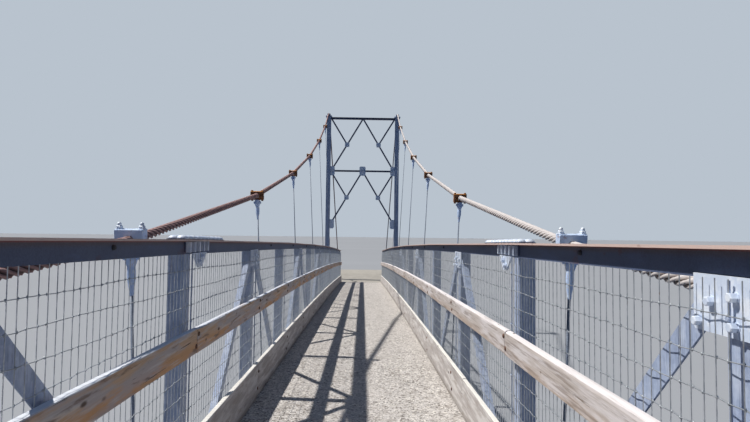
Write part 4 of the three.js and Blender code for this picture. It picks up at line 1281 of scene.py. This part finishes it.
@dataclass
class Tower:
    """One tower: H columns on base plates, cable saddles, and the bracing between them."""

    end: End
    pedestal: float = 903
    column: float = 200
    flange: float = 22
    web: float = 16
    base: Triple = (480, 480, 40)
    cap: Triple = (300, 410, 30)
    cap_below_crown: float = 90
    strut_above: float = 5400
    foot_above: float = 2790
    brace: Pair = (70, 50)
    gusset: Pair = (300, 450)
    gusset_small: Pair = (220, 220)
    gusset_faces: Pair = (24, 33)  # from the bracing's middle
    gusset_chamfer: float = 0.14  # of the plate's lesser size
    gusset_edge: float = 45  # from the plate's end to its bolts
    gusset_bolt: float = 20
    beam: float = 100  # depth of the top beam
    strut: float = 80
    rib: tuple[Pair, ...] = ((100, 0), (220, 0), (220, 30), (130, 190), (100, 190))
    rib_shift: float = 60
    rib_half: float = 8  # half its thickness
    anchor: tuple[Pair, ...] = ((0, 18), (90, 18), (96, 13))
    anchor_thread: float = 36
    anchor_out: float = 190
    cap_thread: float = 24
    cap_bolts: Pair = (115, 150)
    trough: tuple[Pair, ...] = ((70, -60), (70, 12), (40, 12))  # its right half, up to the groove
    groove: float = 36
    trough_share: Pair = (0.14, 0.86)  # where it begins and ends, in the cable's round
    cheeks: Pair = (-52, 40)
    cheek: Pair = (12, 50)  # its thickness, and the depth of its top under the cable's middle

    def build(self) -> None:
        """Builds the columns and the bracing."""
        self.y = self.end.value * BRIDGE.tower_y
        half = (BRIDGE.main_angle + BRIDGE.backstay_angle) / 2
        self.cap_level = BRIDGE.crown - BRIDGE.saddle_radius * (1 / math.cos(half) - 1) - self.cap_below_crown
        self.reach = BRIDGE.cable_tower_x - self.web / 2 - 4  # of the bracing, to the columns' webs
        for side in Side:
            self.column_piece(side)
        self.bracing()

    def column_piece(self, side: Side) -> None:
        """A column with base plate, ribs, cap plate and saddle, and its bolts.

        Args:
            side: the column's side.
        """
        x, y, steel, bolts = side.value * BRIDGE.cable_tower_x, self.y, Shell(), Shell()
        seat, foot = self.pedestal + self.base[2], np.array([x, y, self.pedestal + self.base[2] - 1])
        shaft = [foot, (x, y, self.cap_level - self.cap[2] + 1)]
        steel.add(*sweep(i_section(self.column, self.column, self.flange, self.web, 14), shaft, X_AXIS, Y_AXIS))
        steel.blocks((x, y, self.pedestal + self.base[2] / 2), self.base, 0.3)
        ribs = (-self.rib_shift, self.rib_shift)
        paths = [[foot + Y_AXIS * (y + half) for half in (-self.rib_half, self.rib_half)] for y in ribs]
        for sx in (-1, 1):
            steel.add(*sweep(np.array(self.rib) * (sx, 1), paths, X_AXIS, Z_AXIS), tone=0.4)
        steel.blocks((x, y, self.cap_level - self.cap[2] / 2), self.cap, 0.3)
        self.saddle(steel, x)
        name = f"tower_column_{self.end.label}_{side.label}"
        steel.piece(name + "_steel", TOWER_PAINT, name)
        corners = np.array([(-1, -1, 0), (-1, 1, 0), (1, -1, 0), (1, 1, 0)])
        places = (x, y, seat) + corners * self.anchor_out
        bolts.bolts(places, Z_AXIS, self.anchor_thread, 0.9)
        bolts.add(*spindle(places, Z_AXIS, self.anchor, 10))
        places = (x, y, self.cap_level) + corners * (*self.cap_bolts, 0)
        bolts.bolts(places, Z_AXIS, self.cap_thread)
        bolts.bolts(places - Z_AXIS * self.cap[2], -Z_AXIS, self.cap_thread)
        bolts.piece(name + "_bolts", BRIGHT_ZINC)

    def saddle(self, shell: Shell, x: float) -> None:
        """A trough that follows the cable's round, on two cheeks that stand on the cap plate.

        Args:
            shell: where it goes.
            x: the column's place.
        """
        stations = np.linspace(*self.trough_share, 9) * 10
        y, z = (np.interp(stations, np.arange(11), values) for values in BRIDGE.saddle_arc(10).T)
        y = y * self.end.value
        path = np.stack([np.full(len(y), x), y, z], -1)
        right = np.array(self.trough)
        left = right * (-1, 1)
        section = [left[0], *right, *ring(self.groove, 0, -math.pi, 6), *left[:0:-1]]
        shell.add(*sweep(section, path, X_AXIS, Z_AXIS))
        thick, below = self.cheek
        outline = [(y[0], self.cap_level), *zip(y, z - below), (y[-1], self.cap_level)]
        cheeks = [[(x + a, 0, 0), (x + a + thick, 0, 0)] for a in self.cheeks]
        shell.add(*sweep(outline, cheeks, Y_AXIS, Z_AXIS), tone=0.4)

    def bracing(self) -> None:
        """A top beam, a strut and two inverted V's with stays to their middles, all on bolted gussets."""
        bars, plates, bolts = Shell(), Shell(), Shell()
        level, (deep, wide) = BRIDGE.end_level, self.brace
        top_above = self.cap_level - self.cap[2] - 3 - self.beam / 2 - level
        for above, depth in ((top_above, self.beam), (self.strut_above, self.strut)):
            path = [(sx * self.reach, self.y, level + above) for sx in (-1, 1)]
            bars.add(*sweep(i_section(depth, depth, 9, 7, 6), path, Y_AXIS, Z_AXIS), tone=0.2)
        inset = BRIDGE.cable_tower_x - self.column / 2 - deep / 2
        gussets = [((0, self.strut_above), self.gusset)]
        for sx in (-1, 1):
            for apex, foot in ((top_above, self.strut_above), (self.strut_above, self.foot_above)):
                middle = (sx * inset / 2, (apex + foot) / 2)
                for ends in (((0, apex), (sx * inset, foot)), ((sx * inset, apex - deep / 2), middle)):
                    path = [(x, self.y, level + z) for x, z in ends]
                    bars.add(*sweep(rounded(wide, deep, 6, 2), path, Y_AXIS, Z_AXIS), tone=0.2)
                gussets.append((middle, self.gusset_small))
                gussets.append(((sx * self.reach, foot), (2 * self.gusset[0], self.gusset[1])))
        for middle, size in gussets:
            self.bracing_plates(plates, bolts, middle, size)
        name = f"tower_bracing_{self.end.label}"
        bars.piece(name + "_bars", FRAME_PAINT, name)
        plates.piece(name + "_gussets", BRIGHT_ZINC)
        bolts.piece(name + "_bolts", BRIGHT_ZINC)

    def bracing_plates(self, plates: Shell, bolts: Shell, middle: Pair, size: Pair) -> None:
        """Two gusset plates, one on each face of the bracing, with their bolts.

        Args:
            plates: where the plates go.
            bolts: where the bolt heads go.
            middle: their middle, as X and the height over the deck's end.
            size: width and height, the width being cut at the columns' webs.
        """
        x0, x1 = np.clip([middle[0] - size[0] / 2, middle[0] + size[0] / 2], -self.reach, self.reach)
        z = BRIDGE.end_level + middle[1]
        outline = rounded(x1 - x0, size[1], min(size) * self.gusset_chamfer)
        edge = self.gusset_edge
        x, h = np.meshgrid(np.linspace(x0 + edge, x1 - edge, 3), np.array([-0.3, 0.3]) * size[1])
        for face in (-1, 1):
            ends = [((x0 + x1) / 2, self.y + face * a, z) for a in self.gusset_faces]
            plates.add(*sweep(outline, ends, X_AXIS, Z_AXIS), tone=0.6)
            seats = np.stack([x, np.full_like(x, self.y + face * self.gusset_faces[1]), z + h], -1)
            bolts.bolts(seats, Y_AXIS * face, self.gusset_bolt)


@dataclass
class WingRail(Assembly):
    """A pipe that closes the corner between a truss end and a tower column, and its open return end."""

    end: End
    side: Side
    radius: float = 32
    wall: float = 5
    open_end: float = 60  # length of the hollow that shows at the free end
    height: float = 1430
    column: Pair = (1577, 911)  # X, and Y from the truss end
    corner: Pair = (1130, -50)
    stop: Pair = (1072, -60)

    def build(self) -> None:
        """Carries a ring along a path that leaves the column, reaches the truss end and turns back.

        The bend is (1 - t)^2 * start + 2 t (1 - t) * corner + t^2 * stop.
        """
        z = BRIDGE.level(BRIDGE.truss_end) + self.height
        places = [(x, BRIDGE.truss_end + y, z) for x, y in (self.column, self.corner, self.stop)]
        column, corner, stop = np.array(places) * (self.side.value, self.end.value, 1)
        straight = column + (corner - column) * np.linspace(0, 0.9, 4)[:, None]
        t = np.linspace(0.1, 1, 9)[:, None]
        path = np.concatenate([straight, (1 - t) ** 2 * straight[-1] + 2 * t * (1 - t) * corner + t**2 * stop])
        self.steel.add(*sweep(polygon(16, self.radius), path, Z_AXIS, X_AXIS), smooth=True)
        lip, bore = self.radius, self.radius - self.wall
        sleeve = [(-2, lip - 1), (-2, lip), (self.open_end, lip), (self.open_end, bore), (1, bore), (1, bore - 1)]
        self.steel.add(*spindle(path[-1], path[-1] - path[-2], sleeve, 16))
        name = f"wing_rail_{self.end.label}_{self.side.label}"
        self.steel.piece(name + "_pipe", FRAME_PAINT, name)


@dataclass
class FloorFrame(Assembly):
    """Stringers and cross-beams under the deck, with the cleats that join them."""

    places: tuple[float, ...] = (-800, 0, 800)
    stringer: Pair = (-236.5, -66)
    cross: Pair = (-335, -235)
    cross_half: float = 981
    end_inset: float = 160
    channel: Triple = (80, 12, 10)  # width of the stringers, and thickness of flanges and web
    cleat_out: float = 60
    cleat: Triple = (30, 90, 9)
    end_plate: Triple = (14.5, 76, 80)

    def build(self) -> None:
        """Builds channel stringers that follow the camber and I-section cross-beams between the hangers."""
        low, high = self.stringer
        d, w, (_, flange, web) = (high - low) / 2, self.channel[0] / 2, self.channel
        lower = np.array([(-w, -d), (w, -d), (w, flange - d), (web - w, flange - d)])
        channel = np.concatenate([lower, lower[::-1] * (1, -1)])
        ends = np.array([-1, 1]) * BRIDGE.truss_end
        for x in self.places:
            path = BRIDGE.line(tuple(ends), x, (low + high) / 2)
            self.steel.add(*sweep(channel * (-1 if x > 0 else 1, 1), path, X_AXIS, Z_AXIS))
        low, high = self.cross
        middle, across = (low + high) / 2, np.array([-1, 1])
        evens = BRIDGE.posts[BRIDGE.panels % 2 == 0]
        y = np.concatenate([ends - across * self.end_inset, evens])[:, None]
        path = BRIDGE.at(across * self.cross_half, y, middle)
        self.steel.add(*sweep(i_section(80, high - low, 9, 7, 7), path, Y_AXIS, Z_AXIS), tone=0.4)
        cleats = np.add.outer(self.places, across * self.cleat_out).ravel()
        self.steel.blocks(BRIDGE.at(cleats, y, high + self.cleat[2] / 2), self.cleat, 0.7)
        x = across * (self.cross_half - 5 + self.end_plate[0] / 2)
        self.steel.blocks(BRIDGE.at(x, evens[:, None], middle), self.end_plate)
        self.steel.piece("floor_frame_steel", FRAME_PAINT, "floor_frame")


@dataclass
class Concrete(Assembly):
    """The deck, the abutments and the anchor blocks, which keep their solids and get their finishes."""

    end_seal: Triple = (1920, 28, 9)
    joint_seal: Triple = (1824, 10, 2.5)

    def build(self) -> None:
        """Puts the finishes on the solids and adds the seals at the deck's joints."""
        finishes = {f"deck_{part}": GRAVEL for part in BRIDGE.sections}
        finishes |= {f"{part}_{end.label}": CONCRETE for end in End for part in ("abutment", "anchor_block")}
        for name, finish in finishes.items():
            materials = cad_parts[name].data.materials
            materials.clear()
            materials.append(finish.material)
            log.info("%s: %s", name, finish.name)
        for end in (End.NEAR.value, End.FAR.value):
            y = end * (BRIDGE.truss_end + BRIDGE.section_gap)
            self.trim.blocks(BRIDGE.at(0, y, 0.5), self.end_seal)
            y = BRIDGE.post(end * BRIDGE.splice_post) + end * (BRIDGE.splice_reach + BRIDGE.section_gap / 2)
            self.trim.blocks(BRIDGE.at(0, y, 0.25), self.joint_seal)
        self.trim.piece("deck_joint_seals", JOINT_SEAL)


@dataclass(frozen=True)
class Studio:
    """The floor, the light and the camera, which stands on the deck as the photographer did."""

    width: int = 750  # the photograph's frame in pixels
    focal: float = 536.5  # in the same pixels
    yaw: float = 1.263  # degrees to the right of the bridge's line
    pitch: float = 2.614
    roll: float = 0.665
    eye: Triple = (57, 6487, 4543)
    sun_height: float = 54.0  # degrees over the horizon, from the shadow of the kerb
    sun_turn: float = 6.7  # degrees that its light leans back along the bridge
    sun_angle: float = 1.2  # degrees across
    key_strength: float = 4.6
    key_color: Triple = (1.0, 0.965, 0.91)
    sky_strength: float = 0.165
    sky_color: tuple[float, float, float, float] = (0.45, 0.67, 1.1, 1.0)
    dome_radius: float = 140.0  # metres
    dome_color: str = "B9C3CE"
    floor_half: float = 150.0  # metres

    def build(self) -> None:
        """Makes the floor, the backdrop, the light and the camera."""
        self.floor()
        self.backdrop()
        self.light()
        self.camera()

    def floor(self) -> None:
        """A plain pale floor at the ground line."""
        shell = Shell()
        corners = [(-1, -1, 0), (1, -1, 0), (1, 1, 0), (-1, 1, 0)]
        shell.add(np.array(corners) * self.floor_half / REAL_MM, np.array([[0, 1, 2, 3]]))
        plane = shell.object("studio_floor", STUDIO_GREY.material)
        plane.visible_diffuse = False

    def backdrop(self) -> None:
        """A plain pale dome behind everything, which only the camera sees and which gives no light.

        Its profile is radius * (sin e, cos e) for the height e, turned about the upright axis.
        """
        paper = bpy.data.materials.new("pale_backdrop")
        paper.use_nodes = True
        tree = paper.node_tree
        tree.nodes.clear()
        glow = node(tree, "Emission", {"Color": linear(self.dome_color), "Strength": 1.0})
        node(tree, "OutputMaterial", {"Surface": glow[0]})
        shell = Shell()
        profile = ring(self.dome_radius / REAL_MM, math.radians(-2), math.radians(89.5), 23)[:, ::-1]
        shell.add(*spindle(np.zeros(3), Z_AXIS, profile, 48), smooth=True)
        dome = shell.object("studio_dome", paper)
        for ray in ("diffuse", "glossy", "transmission", "shadow"):
            setattr(dome, f"visible_{ray}", False)

    def light(self) -> None:
        """A soft key from the left, where the photograph's shadows say, and an even sky."""
        lamp = bpy.data.lights.new("key", "SUN")
        lamp.energy, lamp.angle, lamp.color = self.key_strength, math.radians(self.sun_angle), self.key_color
        height, turn = math.radians(self.sun_height), math.radians(self.sun_turn)
        back = np.array([-math.cos(height) * math.cos(turn), math.cos(height) * math.sin(turn), math.sin(height)])
        side = unit(np.cross(Z_AXIS, back))
        self.place("key", lamp, side, np.cross(back, side), back)
        world = bpy.data.worlds.new("studio")
        world.use_nodes = True
        background = world.node_tree.nodes["Background"]
        background.inputs["Color"].default_value = self.sky_color
        background.inputs["Strength"].default_value = self.sky_strength
        bpy.context.scene.world = world
        bpy.context.scene.view_settings.view_transform = "Standard"

    def camera(self) -> None:
        """A camera at the photographer's eye, with the axes that yaw, pitch and roll give."""
        yaw, pitch, roll = (math.radians(a) for a in (self.yaw, self.pitch, self.roll))
        ahead = np.array([math.sin(yaw) * math.cos(pitch), math.cos(yaw) * math.cos(pitch), math.sin(pitch)])
        level = np.array([math.cos(yaw), -math.sin(yaw), 0])
        above = np.cross(level, ahead)
        right = level * math.cos(roll) + above * math.sin(roll)
        up = above * math.cos(roll) - level * math.sin(roll)
        lens = bpy.data.cameras.new("camera")
        lens.sensor_fit, lens.sensor_width = "HORIZONTAL", 36.0
        lens.lens = self.focal * lens.sensor_width / self.width
        lens.clip_start, lens.clip_end = 0.01, 500.0
        camera = self.place("camera", lens, right, up, -ahead)
        camera.location = np.array(self.eye) * REAL_MM
        bpy.context.scene.camera = camera

    def place(self, name: str, data: bpy.types.ID, *axes: Array) -> bpy.types.Object:
        """Adds a lamp or a camera to the scene.

        Args:
            name: its name.
            data: the lamp or the lens.
            axes: its own X, Y and Z.

        Returns:
            The new object, at the origin.
        """
        made = bpy.data.objects.new(name, data)
        bpy.context.scene.collection.objects.link(made)
        made.matrix_world = Matrix(np.column_stack(axes).tolist()).to_4x4()
        return made


def main() -> None:
    """Builds the sub-assemblies in order; each piece logs its number of faces as it is made."""
    logging.basicConfig(level=logging.INFO, format="%(message)s")
    Studio().build()
    Concrete().build()
    FloorFrame().build()
    odd, even = (BRIDGE.posts[BRIDGE.panels % period == start] for period, start in ((4, 1), (2, 0)))
    kerb_joints = {Side.LEFT: even, Side.RIGHT: np.arange(-26000, 31000, 5300)}
    rail_rounds = {Side.LEFT: 9.0, Side.RIGHT: 22.0}
    for number, side in enumerate(Side):
        for name, limits in BRIDGE.sections.items():
            Truss(side, name, limits).build()
        for end in End:
            Splice(side, end).build()
        MeshFence(side).build()
        PlankRun(
            side, "mid_rail", low=800, high=945, joints=odd, finish=RAIL_TIMBER[side], seed=3 + number,
            arris=4, round_top=rail_rounds[side],
        ).build()
        PlankRun(
            side, "kerb", low=3, high=320, joints=kerb_joints[side], finish=KERB_TIMBER, seed=8 + number, arris=6
        ).build()
        MainCable(side).build()
    for number in range(BRIDGE.hangers):
        HangerFrame(number).build()
    for end in End:
        Tower(end).build()
        for side in Side:
            WingRail(end, side).build()


if __name__ == "__main__":
    main()
